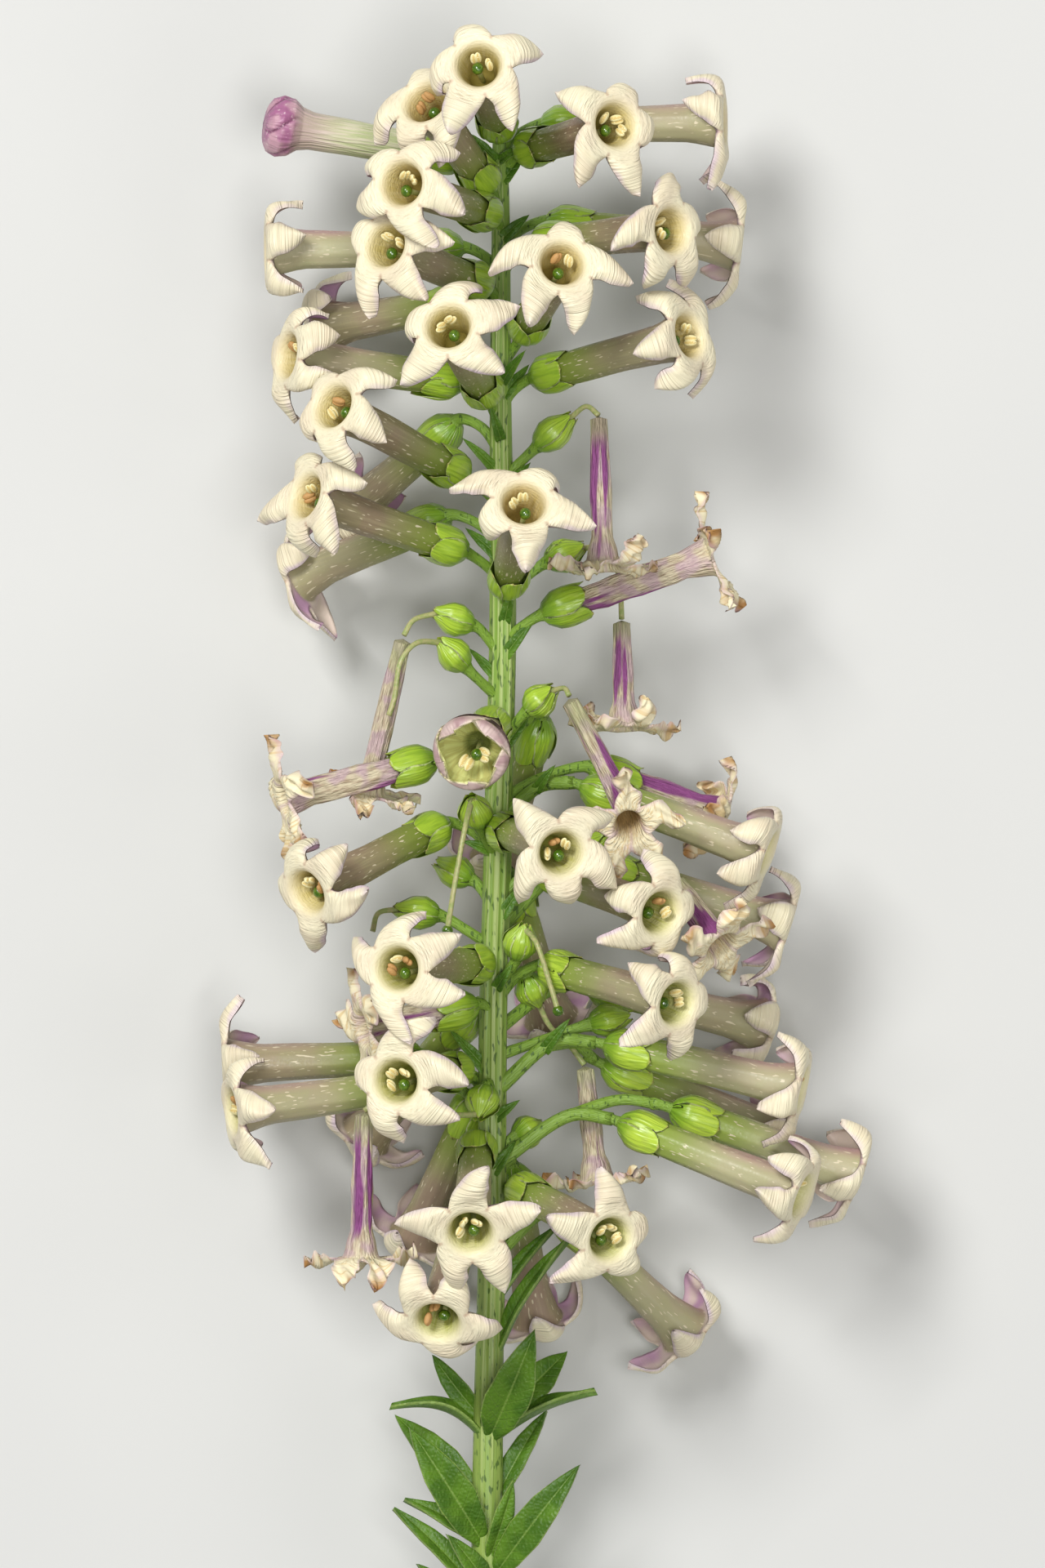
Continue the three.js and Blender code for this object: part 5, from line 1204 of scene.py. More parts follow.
class HONEYBELLS_OT_calyces(bpy.types.Operator):
    """Grows the calyx of every flower and the young fruits in their closed calyces"""

    bl_idname = "honeybells.calyces"
    bl_label = "Calyces and fruits"

    def execute(self, context):
        sizes = context.scene.honeybells_green
        skin = Skin()
        cups = [(base, mouth, even_spin(lobes)) for base, mouth, lobes, *_ in FLOWERS]
        cups += [(base, mouth, even_spin(lobes))
                 for base, mouth, _, lobes, hangs, _ in WITHERED if not hangs]
        cups += [(*BUD, 0.0), (*OPENING_BUD, 0.0)]
        for i, (base, mouth, spin) in enumerate(cups):
            rng = np.random.default_rng(SEED * 3 + i)
            lime = float(smooth(base[1], *LIME_HEIGHTS)) if base[0] > 0 else LIME_LEFT
            mood = (lime, 0.0, rng.uniform())
            line = MiddleLine(base, mouth)
            for k in range(LOBES):
                sepal(skin, line, spin + SECTOR * k, k, rng, CUP_PROFILE, CUP_SPREAD,
                      sizes.calyx_length, mood)
        sepals = calyx_material(sizes)
        skin.make("calyces", [sepals], ["flowering_stem"])
        skin = Skin()
        for i, (base, tip, _, _) in enumerate(FRUITS):
            rng = np.random.default_rng(SEED * 5 + i)
            line = MiddleLine(base, tip)
            mood = (0.3, 1.0, rng.uniform())
            for k in range(LOBES):
                sepal(skin, line, SECTOR * k, k, rng, FRUIT_PROFILE, FRUIT_SPREAD, line.length,
                      mood)
            centre = line.at(line.length * 0.45, 0.0, 0.0)
            ellipsoid(skin, centre, line.end - line.start, line.length * 0.42,
                      FRUIT_RADIUS, 0)
        skin.make("young_fruits", [sepals], ["flowering_stem"])
        return {"FINISHED"}


class HONEYBELLS_OT_styles(bpy.types.Operator):
    """Grows the styles with their stigmas, on the fruits and in all but the back flowers"""

    bl_idname = "honeybells.styles"
    bl_label = "Styles and stigmas"

    def execute(self, context):
        sizes = context.scene.honeybells_green
        skin = Skin()
        front = [(*row[:2], number) for number, row in enumerate(FLOWERS, 1) if row[1][2] > BACK]
        for base, mouth, number in front + [(*OPENING_BUD, 0)]:
            line = MiddleLine(base, mouth)
            top = line.length - 1.15
            lean = np.array((0.0, 0.0, 0.38))
            turns = np.full(3, stigma_lean(number))
            points = line.at(np.array((1.0, line.length * 0.5, top)), lean, turns)
            stalk(skin, points, (sizes.style_radius,) * 3, 10, 8)
            centre = points[-1]
            ellipsoid(skin, centre, line.end - line.start, sizes.stigma_radius * 0.9,
                      sizes.stigma_radius, 1, 0.93)
        for base, tip, style, stigma in FRUITS:
            if not style:
                continue
            line = MiddleLine(base, tip)
            points = [line.at(line.length - 0.5, 0.0, 0.0), *style]
            stalk(skin, points, (0.24, 0.2, 0.2, 0.22), 10, 26)
            if stigma:
                heading = np.array(style[-1]) - np.array(style[-2])
                ellipsoid(skin, style[-1], heading, 0.4, 0.42, 1, 0.93)
        materials = [style_material(sizes), stigma_material(sizes)]
        skin.make("styles", materials, ["flowering_stem"])
        return {"FINISHED"}


# Outlines: how far along the blade, and how wide it is there as a share of its width.
LEAF_OUTLINE = ((0.0, 0.06, 0.2, 0.42, 0.65, 0.85, 0.95, 1.0),
                (0.26, 0.4, 0.78, 1.0, 0.84, 0.45, 0.18, 0.0))
BRACT_OUTLINE = ((0.0, 0.1, 0.5, 0.85, 1.0), (0.9, 1.0, 0.8, 0.35, 0.0))
BRACT_FACE = (0.0, 0.2, 1.0)
BRACT_ARCH = 0.25
BRACT_BLADE = 0.6  # share of a leaf's thickness


class HONEYBELLS_OT_leaves(bpy.types.Operator):
    """Grows the leaves at the foot of the spike and the small bracts up the stem"""

    bl_idname = "honeybells.leaves"
    bl_label = "Leaves and bracts"

    def execute(self, context):
        sizes = context.scene.honeybells_green
        skin = Skin()
        for i, (root, tip, width, face, arch) in enumerate(LEAVES):
            leaf(skin, root, tip, width, face, arch, sizes.blade, i, LEAF_OUTLINE)
        for i, (root, tip, width) in enumerate(BRACTS):
            leaf(skin, root, tip, width, BRACT_FACE, BRACT_ARCH, sizes.blade * BRACT_BLADE,
                 len(LEAVES) + i, BRACT_OUTLINE)
        skin.make("leaves", [leaf_material(sizes)], ["flowering_stem"])
        return {"FINISHED"}


def leaf(skin, root, tip, width, face, arch, blade, number, outline):
    """A pointed blade folded along its midrib, arched, with thin margins."""
    rng = np.random.default_rng(SEED * 11 + number)
    wave = waves(rng, 4, 0.8, 2.2)
    start, end = np.array(root, float), np.array(tip, float)
    along = end - start
    look = np.array(face, float)
    normal = unit(look - along * (look @ along) / (along @ along))
    side = unit(np.cross(along, normal))
    q = np.linspace(0.0, 1.0, 30)[:, None]
    w = np.linspace(-1.0, 1.0, 19)[None, :]
    half = width / 2 * np.interp(q, *outline) * (1 + 0.03 * wave(q * 7, w))
    fold = np.abs(w) ** 1.2 * half * 0.45
    ripple = 0.10 * wave(q * 4, w * 1.5) * np.abs(w) ** 2 * smooth(q, 0.1, 0.4)
    rise = arch * np.sin(math.pi * q) + fold + ripple * min(1.0, width / 2)
    middle = start + along * lift(q + 0 * w)
    top_lift = rise + blade / 2 * (1 - 0.75 * np.abs(w) ** 4) - 0.07 * np.exp(-((w / 0.09) ** 2))
    low_lift = rise - blade / 2 * (1 - 0.75 * np.abs(w) ** 4)
    across = side * lift(half * w)
    top = middle + across + normal * lift(top_lift)
    low = middle + across + normal * lift(low_lift)
    mood = (0.0, 0.0, rng.uniform())
    far = np.abs(w) + 0 * q
    place = (half * w, q * np.linalg.norm(along) + 0 * w, float(number))
    skin.grid(top, (q, far, 0.0), place, mood, turned=True)
    skin.grid(low, (q, far, 1.0), place, mood)
    for column, turned in ((0, False), (-1, True)):
        rim = np.stack([top[:, column], low[:, column]], axis=1)
        skin.grid(rim, (q, 1.0, 0.5), (0.0, q, float(number)), mood, turned=turned)
    skin.grid(np.stack([top[0], low[0]]), (0.0, far[:1], 0.5), (0.0, 0.0, float(number)), mood)


# ---------------------------------------- shading


class Tree:
    """Shorthand for adding shader nodes and linking them."""

    def __init__(self, tree):
        self.tree = tree

    def add(self, kind, inputs=None, **settings):
        """Adds a node; inputs holds a value or a socket for each of its sockets."""
        node = self.tree.nodes.new(kind)
        for name, value in settings.items():
            setattr(node, name, value)
        for key, value in (inputs or {}).items():
            self.put(node.inputs[key], value)
        return node

    def put(self, socket, value):
        """Links value to the socket, or sets it."""
        if isinstance(value, bpy.types.NodeSocket):
            self.tree.links.new(value, socket)
        elif socket.type == "RGBA":
            socket.default_value = (*value[:3], 1.0)
        else:
            socket.default_value = value

    def math(self, operation, a, b=0.0, clamp=False):
        """The result of one operation."""
        node = self.add("ShaderNodeMath", {0: a, 1: b}, operation=operation, use_clamp=clamp)
        return node.outputs[0]

    def step(self, value, low, high, to_low=0.0, to_high=1.0):
        """A smooth step of value between low and high."""
        inputs = {"Value": value, "From Min": low, "From Max": high,
                  "To Min": to_low, "To Max": to_high}
        node = self.add("ShaderNodeMapRange", inputs, interpolation_type="SMOOTHSTEP")
        return node.outputs["Result"]

    def mix(self, factor, a, b):
        """Colour a where factor is 0 and b where it is 1."""
        node = self.add("ShaderNodeMix", {0: factor, 6: a, 7: b}, data_type="RGBA")
        return node.outputs[2]

    def noise(self, vector, scale, detail=1.0, roughness=0.5):
        """Smooth noise around a half."""
        inputs = {"Vector": vector, "Scale": scale, "Detail": detail, "Roughness": roughness}
        return self.add("ShaderNodeTexNoise", inputs).outputs["Fac"]

    def vector(self, x, y, z):
        """The three numbers as a vector."""
        return self.add("ShaderNodeCombineXYZ", {0: x, 1: y, 2: z}).outputs[0]

    def split(self, vector):
        """The three numbers of a vector."""
        return self.add("ShaderNodeSeparateXYZ", {0: vector}).outputs

    def value(self, name):
        """One of the three values that every point of a piece carries."""
        return self.add("ShaderNodeAttribute", attribute_name=name).outputs["Vector"]

    def place(self):
        """Where a point is, in metres."""
        return self.add("ShaderNodeTexCoord").outputs["Object"]

    def effect(self, group, inputs):
        """One use of a shared node group."""
        node = self.tree.nodes.new("ShaderNodeGroup")
        node.node_tree = group
        for key, value in inputs.items():
            self.put(node.inputs[key], value)
        return node.outputs


def effect_group(name, inputs, outputs, build):
    """A shader node group, built once and then shared by the materials."""
    group = bpy.data.node_groups.get(name)
    if group is not None:
        return group
    group = bpy.data.node_groups.new(name, "ShaderNodeTree")
    for label, kind, default in inputs:
        socket = group.interface.new_socket(label, in_out="INPUT", socket_type=kind)
        if default is not None:
            socket.default_value = default
    for label, kind in outputs:
        group.interface.new_socket(label, in_out="OUTPUT", socket_type=kind)
    source = group.nodes.new("NodeGroupInput")
    target = group.nodes.new("NodeGroupOutput")
    for label, value in build(Tree(group), source.outputs).items():
        group.links.new(value, target.inputs[label])
    return group


FLOAT, VECTOR = "NodeSocketFloat", "NodeSocketVector"


def folds_group():
    """Wrinkles that run round a flower, or along it, by how far noise is stretched either way."""

    def build(tree, given):
        x, y, z = tree.split(given["Skin"])
        round_x = tree.math("MULTIPLY", x, given["Around"])
        round_y = tree.math("MULTIPLY", y, given["Around"])
        along = tree.math("MULTIPLY", z, given["Along"])
        shift = tree.math("MULTIPLY", given["Seed"], 37.0)
        spot = tree.vector(tree.math("ADD", round_x, shift), round_y, along)
        height = tree.noise(spot, 1.0, given["Detail"], 0.55)
        line = tree.math("ABSOLUTE", tree.math("SUBTRACT", height, 0.5))
        return {"Height": height, "Creases": tree.step(line, 0.0, 0.06, 1.0, 0.0)}

    inputs = (("Skin", VECTOR, None), ("Around", FLOAT, 3.0), ("Along", FLOAT, 3.0),
              ("Seed", FLOAT, 0.0), ("Detail", FLOAT, 1.0))
    outputs = (("Height", FLOAT), ("Creases", FLOAT))
    return effect_group("Folds", inputs, outputs, build)


def specks_group():
    """Small scattered spots, of which only some are kept."""

    def build(tree, given):
        cells = tree.add(
            "ShaderNodeTexVoronoi", {"Vector": given["Place"], "Scale": given["Scale"]}
        )
        lot = tree.split(cells.outputs["Color"])[0]
        kept = tree.math("LESS_THAN", lot, given["Share"])
        size = tree.math("MULTIPLY", given["Size"], 1.5)
        spot = tree.step(cells.outputs["Distance"], given["Size"], size, 1.0, 0.0)
        return {"Mask": tree.math("MULTIPLY", kept, spot)}

    inputs = (("Place", VECTOR, None), ("Scale", FLOAT, 1000.0), ("Size", FLOAT, 0.2),
              ("Share", FLOAT, 0.3))
    return effect_group("Specks", inputs, (("Mask", FLOAT),), build)


def edge_group():
    """A ragged band along the margin of a blade, given how far a point lies from its middle."""

    def build(tree, given):
        rough = tree.noise(given["Place"], given["Scale"])
        wander = tree.math("MULTIPLY", tree.math("SUBTRACT", rough, 0.5), given["Raggedness"])
        far = tree.math("ADD", given["Across"], wander)
        inner = tree.math("SUBTRACT", 1.0, given["Width"])
        outer = tree.math("ADD", inner, given["Softness"])
        return {"Mask": tree.step(far, inner, outer)}

    inputs = (("Place", VECTOR, None), ("Across", FLOAT, 0.0), ("Width", FLOAT, 0.2),
              ("Softness", FLOAT, 0.1), ("Raggedness", FLOAT, 0.2), ("Scale", FLOAT, 2500.0))
    return effect_group("Edge", inputs, (("Mask", FLOAT),), build)


def material(name, build):
    """A material whose look is set by build."""
    made = bpy.data.materials.new(name)
    made.use_nodes = True
    tree = Tree(made.node_tree)
    shader = made.node_tree.nodes["Principled BSDF"]
    build(tree, shader)
    return made


def bump(tree, shader, height, distance, strength=1.0):
    """Raises the surface by height times distance, in metres."""
    inputs = {"Height": height, "Distance": distance, "Strength": strength}
    tree.put(shader.inputs["Normal"], tree.add("ShaderNodeBump", inputs).outputs["Normal"])


def waxy(shader, roughness, coat, shine=0.4):
    """The constant parts of the look of living tissue."""
    shader.inputs["Roughness"].default_value = roughness
    shader.inputs["Coat Weight"].default_value = coat
    shader.inputs["Coat Roughness"].default_value = 0.22
    shader.inputs["Specular IOR Level"].default_value = shine


# The second colours of each finish, which mottle the main ones that the sidebar shows.
# Flowers
RIM_GOLD = (0.70, 0.57, 0.31)
RIM_YOUNG = (0.68, 0.66, 0.35)
DEEP_GOLD = (0.38, 0.26, 0.07)
DEEP_YOUNG = (0.27, 0.32, 0.05)
LOBE_BLUSH = (0.78, 0.68, 0.49)
# Painted shade in the slits between the lobes.
SLIT_SHADE = (0.36, 0.17, 0.10)
TUBE_LINE = (0.42, 0.38, 0.20)
TUBE_CROWN = (0.46, 0.20, 0.26)
TUBE_MAUVE = (0.24, 0.13, 0.10)
TUBE_CREAM = (0.50, 0.42, 0.30)
NECK_YOUNG = (0.27, 0.36, 0.06)
# The pale glints on the tube are painted highlights.
TUBE_GLINT = (0.70, 0.62, 0.44)
REVERSE_CREAM = (0.70, 0.58, 0.50)
# Anthers
ANTHER_SEAM = (0.62, 0.45, 0.14)
ANTHER_YELLOW = (0.88, 0.80, 0.44)
POLLEN = (0.95, 0.9, 0.62)
ANTHER_OLD = (0.50, 0.28, 0.10)
# Withered flowers
STRAW_CREASE = (0.40, 0.30, 0.20)
STRAW_PINK = (0.50, 0.32, 0.44)
STRAW_GREEN = (0.42, 0.45, 0.20)
DRY_CREAM = (0.84, 0.76, 0.52)
DRY_ROSE = (0.70, 0.56, 0.48)
DRY_CREASE = (0.58, 0.38, 0.12)
DRY_LILAC = (0.50, 0.32, 0.46)
DRY_THROAT = (0.40, 0.26, 0.10)
# Buds
BUD_STREAK = (0.66, 0.62, 0.44)
BUD_FLUSH = (0.50, 0.30, 0.36)
KNOB_ROSE = (0.52, 0.30, 0.36)
KNOB_SEAM = (0.16, 0.05, 0.10)
KNOB_BLOOM = (0.75, 0.6, 0.6)
CUP_ROSE = (0.58, 0.44, 0.40)
CUP_GREEN = (0.30, 0.33, 0.10)
CUP_EDGE = (0.74, 0.64, 0.46)
CUP_STREAK = (0.50, 0.48, 0.16)
CUP_DEPTH = (0.22, 0.25, 0.06)
# Green parts
STEM_FOOT_GREEN = (0.25, 0.35, 0.07)
STALK_GREEN = (0.19, 0.34, 0.025)
STEM_STREAK = (0.20, 0.33, 0.06)
STEM_FLECK = (0.03, 0.08, 0.01)
CALYX_LIME = (0.46, 0.62, 0.06)
CALYX_VEIN = (0.12, 0.25, 0.02)
CALYX_PATCH = (0.40, 0.50, 0.10)
CALYX_POINT = (0.50, 0.42, 0.16)
STYLE_SHADE = (0.42, 0.40, 0.18)
STIGMA_SHADE = (0.11, 0.19, 0.012)
LEAF_PATCH = (0.10, 0.21, 0.016)
LEAF_DOT = (0.22, 0.34, 0.08)
LEAF_REVERSE = (0.18, 0.26, 0.09)

# Relief of each surface in metres
PETAL_RELIEF = 0.00019
ANTHER_RELIEF = 0.00003
DRY_RELIEF = 0.0003
BUD_RELIEF = 0.00018
CUP_RELIEF = 0.00016
STEM_RELIEF = 0.00012
CALYX_RELIEF = 0.00014
STYLE_RELIEF = 0.00005
STIGMA_RELIEF = 0.00003
LEAF_RELIEF = 0.00007


def petal_material(sizes):
    """Cream waxy lobes, golden throat, mauve or cream tube and lilac reverse."""

    def build(tree, shader):
        along, across, side = tree.split(tree.value("shade"))
        skin = tree.value("skin")
        young, pale, seed = tree.split(tree.value("mood"))
        place = tree.place()
        wrinkles = tree.effect(folds_group(), {"Skin": skin, "Around": 3.4, "Along": 6.0,
                                               "Seed": seed, "Detail": 2.0})
        streaks = tree.effect(folds_group(), {"Skin": skin, "Around": 8.0, "Along": 0.35,
                                              "Seed": seed})
        # Painted highlights: this noise places short pale glints on the tube.
        flecks_and_glints = tree.effect(folds_group(), {"Skin": skin, "Around": 9.0, "Along": 1.5,
                                             "Seed": seed, "Detail": 0.0})
        patches = tree.noise(place, 420.0)
        fine = tree.noise(place, 5200.0, 0.0)

        throat = tree.mix(young, sizes.throat_colour, sizes.young_colour)
        rim = tree.mix(young, RIM_GOLD, RIM_YOUNG)
        deep = tree.mix(young, DEEP_GOLD, DEEP_YOUNG)
        wall = tree.mix(tree.step(streaks["Height"], 0.36, 0.64, 0.0, 0.5), throat, rim)
        throat = tree.mix(tree.step(along, 0.0, 0.45), deep, wall)
        throat = tree.mix(tree.step(along, 0.55, 0.92), throat, rim)
        lobe = tree.mix(tree.step(patches, 0.35, 0.7), sizes.lobe_colour, LOBE_BLUSH)
        on_lobe = tree.step(along, 0.74, 1.06)
        upper = tree.mix(on_lobe, throat, lobe)
        # Painted shade: the troughs of the lobes' wrinkles are tinted darker tan.
        crease_shade = tree.math("MULTIPLY", tree.step(wrinkles["Height"], 0.50, 0.30), 0.16)
        upper = tree.mix(tree.math("MULTIPLY", crease_shade, on_lobe), upper, sizes.fold_shade_colour)
        edge = tree.effect(edge_group(), {"Place": place, "Across": across, "Width": 0.3,
                                          "Softness": 0.3, "Raggedness": 0.35, "Scale": 900.0})
        outer_part = tree.step(along, 1.15, 1.5)
        lilac = tree.math("MULTIPLY", edge["Mask"], outer_part)
        tip = tree.math("MULTIPLY", tree.step(along, 1.78, 2.0), 0.7)
        lilac = tree.math("MAXIMUM", lilac, tip)
        lilac = tree.math("MULTIPLY", lilac, tree.step(seed, 0.0, 1.0, 0.4, 0.85))
        upper = tree.mix(lilac, upper, sizes.edge_colour)
        # Painted shade in the narrow slit where two lobes part, just beyond the sinus.
        slit_far = tree.step(across, 0.86, 1.0)
        slit_near = tree.math("MULTIPLY", tree.step(along, 1.0, 1.07), tree.step(along, 1.2, 1.1))
        slit_shade = tree.math("MULTIPLY", tree.math("MULTIPLY", slit_far, slit_near), 0.5)
        upper = tree.mix(slit_shade, upper, SLIT_SHADE)

        tube = tree.mix(pale, sizes.tube_colour, sizes.pale_colour)
        lines = tree.step(streaks["Height"], 0.45, 0.72, 0.0, 0.4)
        tube = tree.mix(lines, tube, TUBE_LINE)
        crown = tree.math("MULTIPLY", tree.step(tree.split(skin)[0], 0.45, 1.0), 0.75)
        crown = tree.math("MULTIPLY", crown, tree.step(along, 0.18, 0.45))
        tube = tree.mix(tree.math("MULTIPLY", crown, pale), tube, TUBE_CROWN)
        mauve = tree.step(patches, 0.42, 0.62, 0.0, 0.35)
        tube = tree.mix(mauve, tube, tree.mix(pale, TUBE_MAUVE, TUBE_CREAM))
        neck = tree.mix(young, sizes.neck_colour, NECK_YOUNG)
        tube = tree.mix(tree.step(along, 0.1, 0.4), neck, tube)
        # Painted highlights: short pale glints on the tube.
        painted_glint = tree.math("MULTIPLY", tree.step(flecks_and_glints["Height"], 0.71, 0.76), 0.8)
        tube = tree.mix(painted_glint, tube, TUBE_GLINT)
        reverse = tree.mix(tree.step(patches, 0.3, 0.65), sizes.reverse_colour, REVERSE_CREAM)
        under = tree.mix(tree.step(along, 0.84, 1.1), tube, reverse)
        base = tree.mix(side, upper, under)
        tree.put(shader.inputs["Base Color"], base)

        blade = tree.step(along, 0.9, 1.25, 0.3, 1.0)
        strong = tree.math("MULTIPLY", blade, tree.math("SUBTRACT", 1.0, side))
        height = tree.math("MULTIPLY", wrinkles["Height"], tree.math("ADD", strong, 0.1))
        bump(tree, shader, height, PETAL_RELIEF)
        waxy(shader, 0.42, 0.0)
        tree.put(shader.inputs["Roughness"], tree.step(fine, 0.3, 0.7, 0.36, 0.52))

    return material("petal_skin", build)


def anther_material():
    """Pale yellow, mealy, golden where the two halves meet."""

    def build(tree, shader):
        _, across, _ = tree.split(tree.value("shade"))
        old = tree.split(tree.value("mood"))[0]
        grain = tree.noise(tree.place(), 9000.0)
        base = tree.mix(tree.step(across, 0.1, 0.8), ANTHER_SEAM, ANTHER_YELLOW)
        base = tree.mix(tree.step(grain, 0.6, 0.75), base, POLLEN)
        base = tree.mix(old, base, ANTHER_OLD)
        tree.put(shader.inputs["Base Color"], base)
        bump(tree, shader, grain, ANTHER_RELIEF)
        waxy(shader, 0.6, 0.0)

    return material("anther", build)


def withered_material(sizes):
    """Straw with purple bands, lengthwise creases and burnt tips."""

    def build(tree, shader):
        along, across, side = tree.split(tree.value("shade"))
        skin = tree.value("skin")
        _, purple, seed = tree.split(tree.value("mood"))
        place = tree.place()
        bands = tree.effect(folds_group(), {"Skin": skin, "Around": 1.1, "Along": 0.12,
                                            "Seed": seed})
        creases = tree.effect(folds_group(), {"Skin": skin, "Around": 7.0, "Along": 0.9,
                                              "Seed": seed, "Detail": 2.0})
        patches = tree.noise(place, 700.0)
        limit = tree.math("SUBTRACT", 0.72, tree.math("MULTIPLY", purple, 0.30))
        high = tree.math("ADD", limit, 0.10)
        band = tree.step(bands["Height"], limit, high)
        straw = tree.mix(tree.step(creases["Height"], 0.32, 0.58), STRAW_CREASE,
                         sizes.straw_colour)
        pinkish = tree.step(patches, 0.42, 0.62, 0.0, 0.55)
        straw = tree.mix(pinkish, straw, STRAW_PINK)
        tube = tree.mix(band, straw, sizes.purple_colour)
        green_end = tree.step(along, 0.16, 0.04)
        tube = tree.mix(tree.math("MULTIPLY", green_end, 0.6), tube, STRAW_GREEN)
        limb = tree.mix(tree.step(patches, 0.55, 0.75), DRY_CREAM, DRY_ROSE)
        limb = tree.mix(tree.step(creases["Creases"], 0.3, 1.0, 0.0, 0.55), limb, DRY_CREASE)
        burnt = tree.math("MULTIPLY", tree.step(along, 1.5, 1.95), tree.step(patches, 0.35, 0.6))
        limb = tree.mix(burnt, limb, sizes.tip_colour)
        lilac = tree.math("MULTIPLY", tree.step(across, 0.7, 1.0), 0.4)
        limb = tree.mix(lilac, limb, DRY_LILAC)
        inside = tree.mix(tree.step(along, 0.3, 0.95), DRY_THROAT, limb)
        outside = tree.mix(tree.step(along, 0.75, 1.05), tube, limb)
        tree.put(shader.inputs["Base Color"], tree.mix(side, inside, outside))
        bump(tree, shader, creases["Height"], DRY_RELIEF)
        waxy(shader, 0.6, 0.0, 0.3)

    return material("withered_skin", build)


def bud_material(sizes):
    """Purple-pink folded lobes on a pale green tube."""

    def build(tree, shader):
        along, across, head = tree.split(tree.value("shade"))
        skin = tree.value("skin")
        place = tree.place()
        streaks = tree.effect(folds_group(), {"Skin": skin, "Around": 7.0, "Along": 0.4,
                                              "Seed": 0.3})
        grain = tree.noise(place, 4200.0)
        patches = tree.noise(place, 800.0)
        tube = tree.mix(tree.step(streaks["Height"], 0.4, 0.65), sizes.green_colour,
                        BUD_STREAK)
        tube = tree.mix(tree.step(along, 0.5, 0.8, 0.0, 0.6), tube, BUD_FLUSH)
        knob = tree.mix(tree.step(patches, 0.38, 0.62), sizes.pink_colour, KNOB_ROSE)
        knob = tree.mix(tree.step(across, 0.25, 0.02), knob, KNOB_SEAM)
        knob = tree.mix(tree.step(grain, 0.62, 0.72, 0.0, 0.5), knob, KNOB_BLOOM)
        tree.put(shader.inputs["Base Color"], tree.mix(head, tube, knob))
        bump(tree, shader, streaks["Height"], BUD_RELIEF)
        waxy(shader, 0.42, 0.12)

    return material("bud_skin", build)


def opening_material(sizes):
    """Greyish pink outside, pale yellow-green inside, cream along the edges of the lobes."""

    def build(tree, shader):
        along, across, side = tree.split(tree.value("shade"))
        skin = tree.value("skin")
        place = tree.place()
        streaks = tree.effect(folds_group(), {"Skin": skin, "Around": 7.0, "Along": 0.5,
                                              "Seed": 0.7})
        patches = tree.noise(place, 700.0)
        outer = tree.mix(tree.step(patches, 0.36, 0.64), sizes.grey_colour, CUP_ROSE)
        outer = tree.mix(tree.step(along, 0.5, 0.1), outer, CUP_GREEN)
        outer = tree.mix(tree.step(across, 0.6, 1.0, 0.0, 0.7), outer, CUP_EDGE)
        inner = tree.mix(tree.step(streaks["Height"], 0.4, 0.65), sizes.inside_colour,
                         CUP_STREAK)
        inner = tree.mix(tree.step(along, 0.25, 0.0), inner, CUP_DEPTH)
        tree.put(shader.inputs["Base Color"], tree.mix(side, inner, outer))
        bump(tree, shader, streaks["Height"], CUP_RELIEF)
        waxy(shader, 0.42, 0.12)

    return material("opening_bud_skin", build)


def stem_material(sizes):
    """Green with pale ridges and short dark flecks."""

    def build(tree, shader):
        height, ridge, stalk_tone = tree.split(tree.value("shade"))
        skin = tree.value("skin")
        place = tree.place()
        streaks = tree.effect(folds_group(), {"Skin": skin, "Around": 5.0, "Along": 1.2,
                                              "Seed": 0.2})
        stretched = tree.add("ShaderNodeVectorMath", {0: place, 1: (4200.0, 1100.0, 4200.0)},
                             operation="MULTIPLY").outputs[0]
        flecks_and_glints = tree.noise(stretched, 1.0)
        base = tree.mix(tree.step(height, 0.1, 0.7), STEM_FOOT_GREEN, sizes.stem_colour)
        base = tree.mix(tree.step(stalk_tone, 0.0, 0.2, 0.0, 0.6), base, STALK_GREEN)
        base = tree.mix(tree.step(streaks["Height"], 0.4, 0.65, 0.0, 0.5), base, STEM_STREAK)
        base = tree.mix(tree.step(ridge, 0.35, 0.95, 0.0, 0.75), base, sizes.stripe_colour)
        base = tree.mix(tree.step(flecks_and_glints, 0.60, 0.68, 0.0, 0.75), base, STEM_FLECK)
        tree.put(shader.inputs["Base Color"], base)
        bump(tree, shader, streaks["Height"], STEM_RELIEF)
        waxy(shader, 0.42, 0.0, 0.35)

    return material("stem_skin", build)


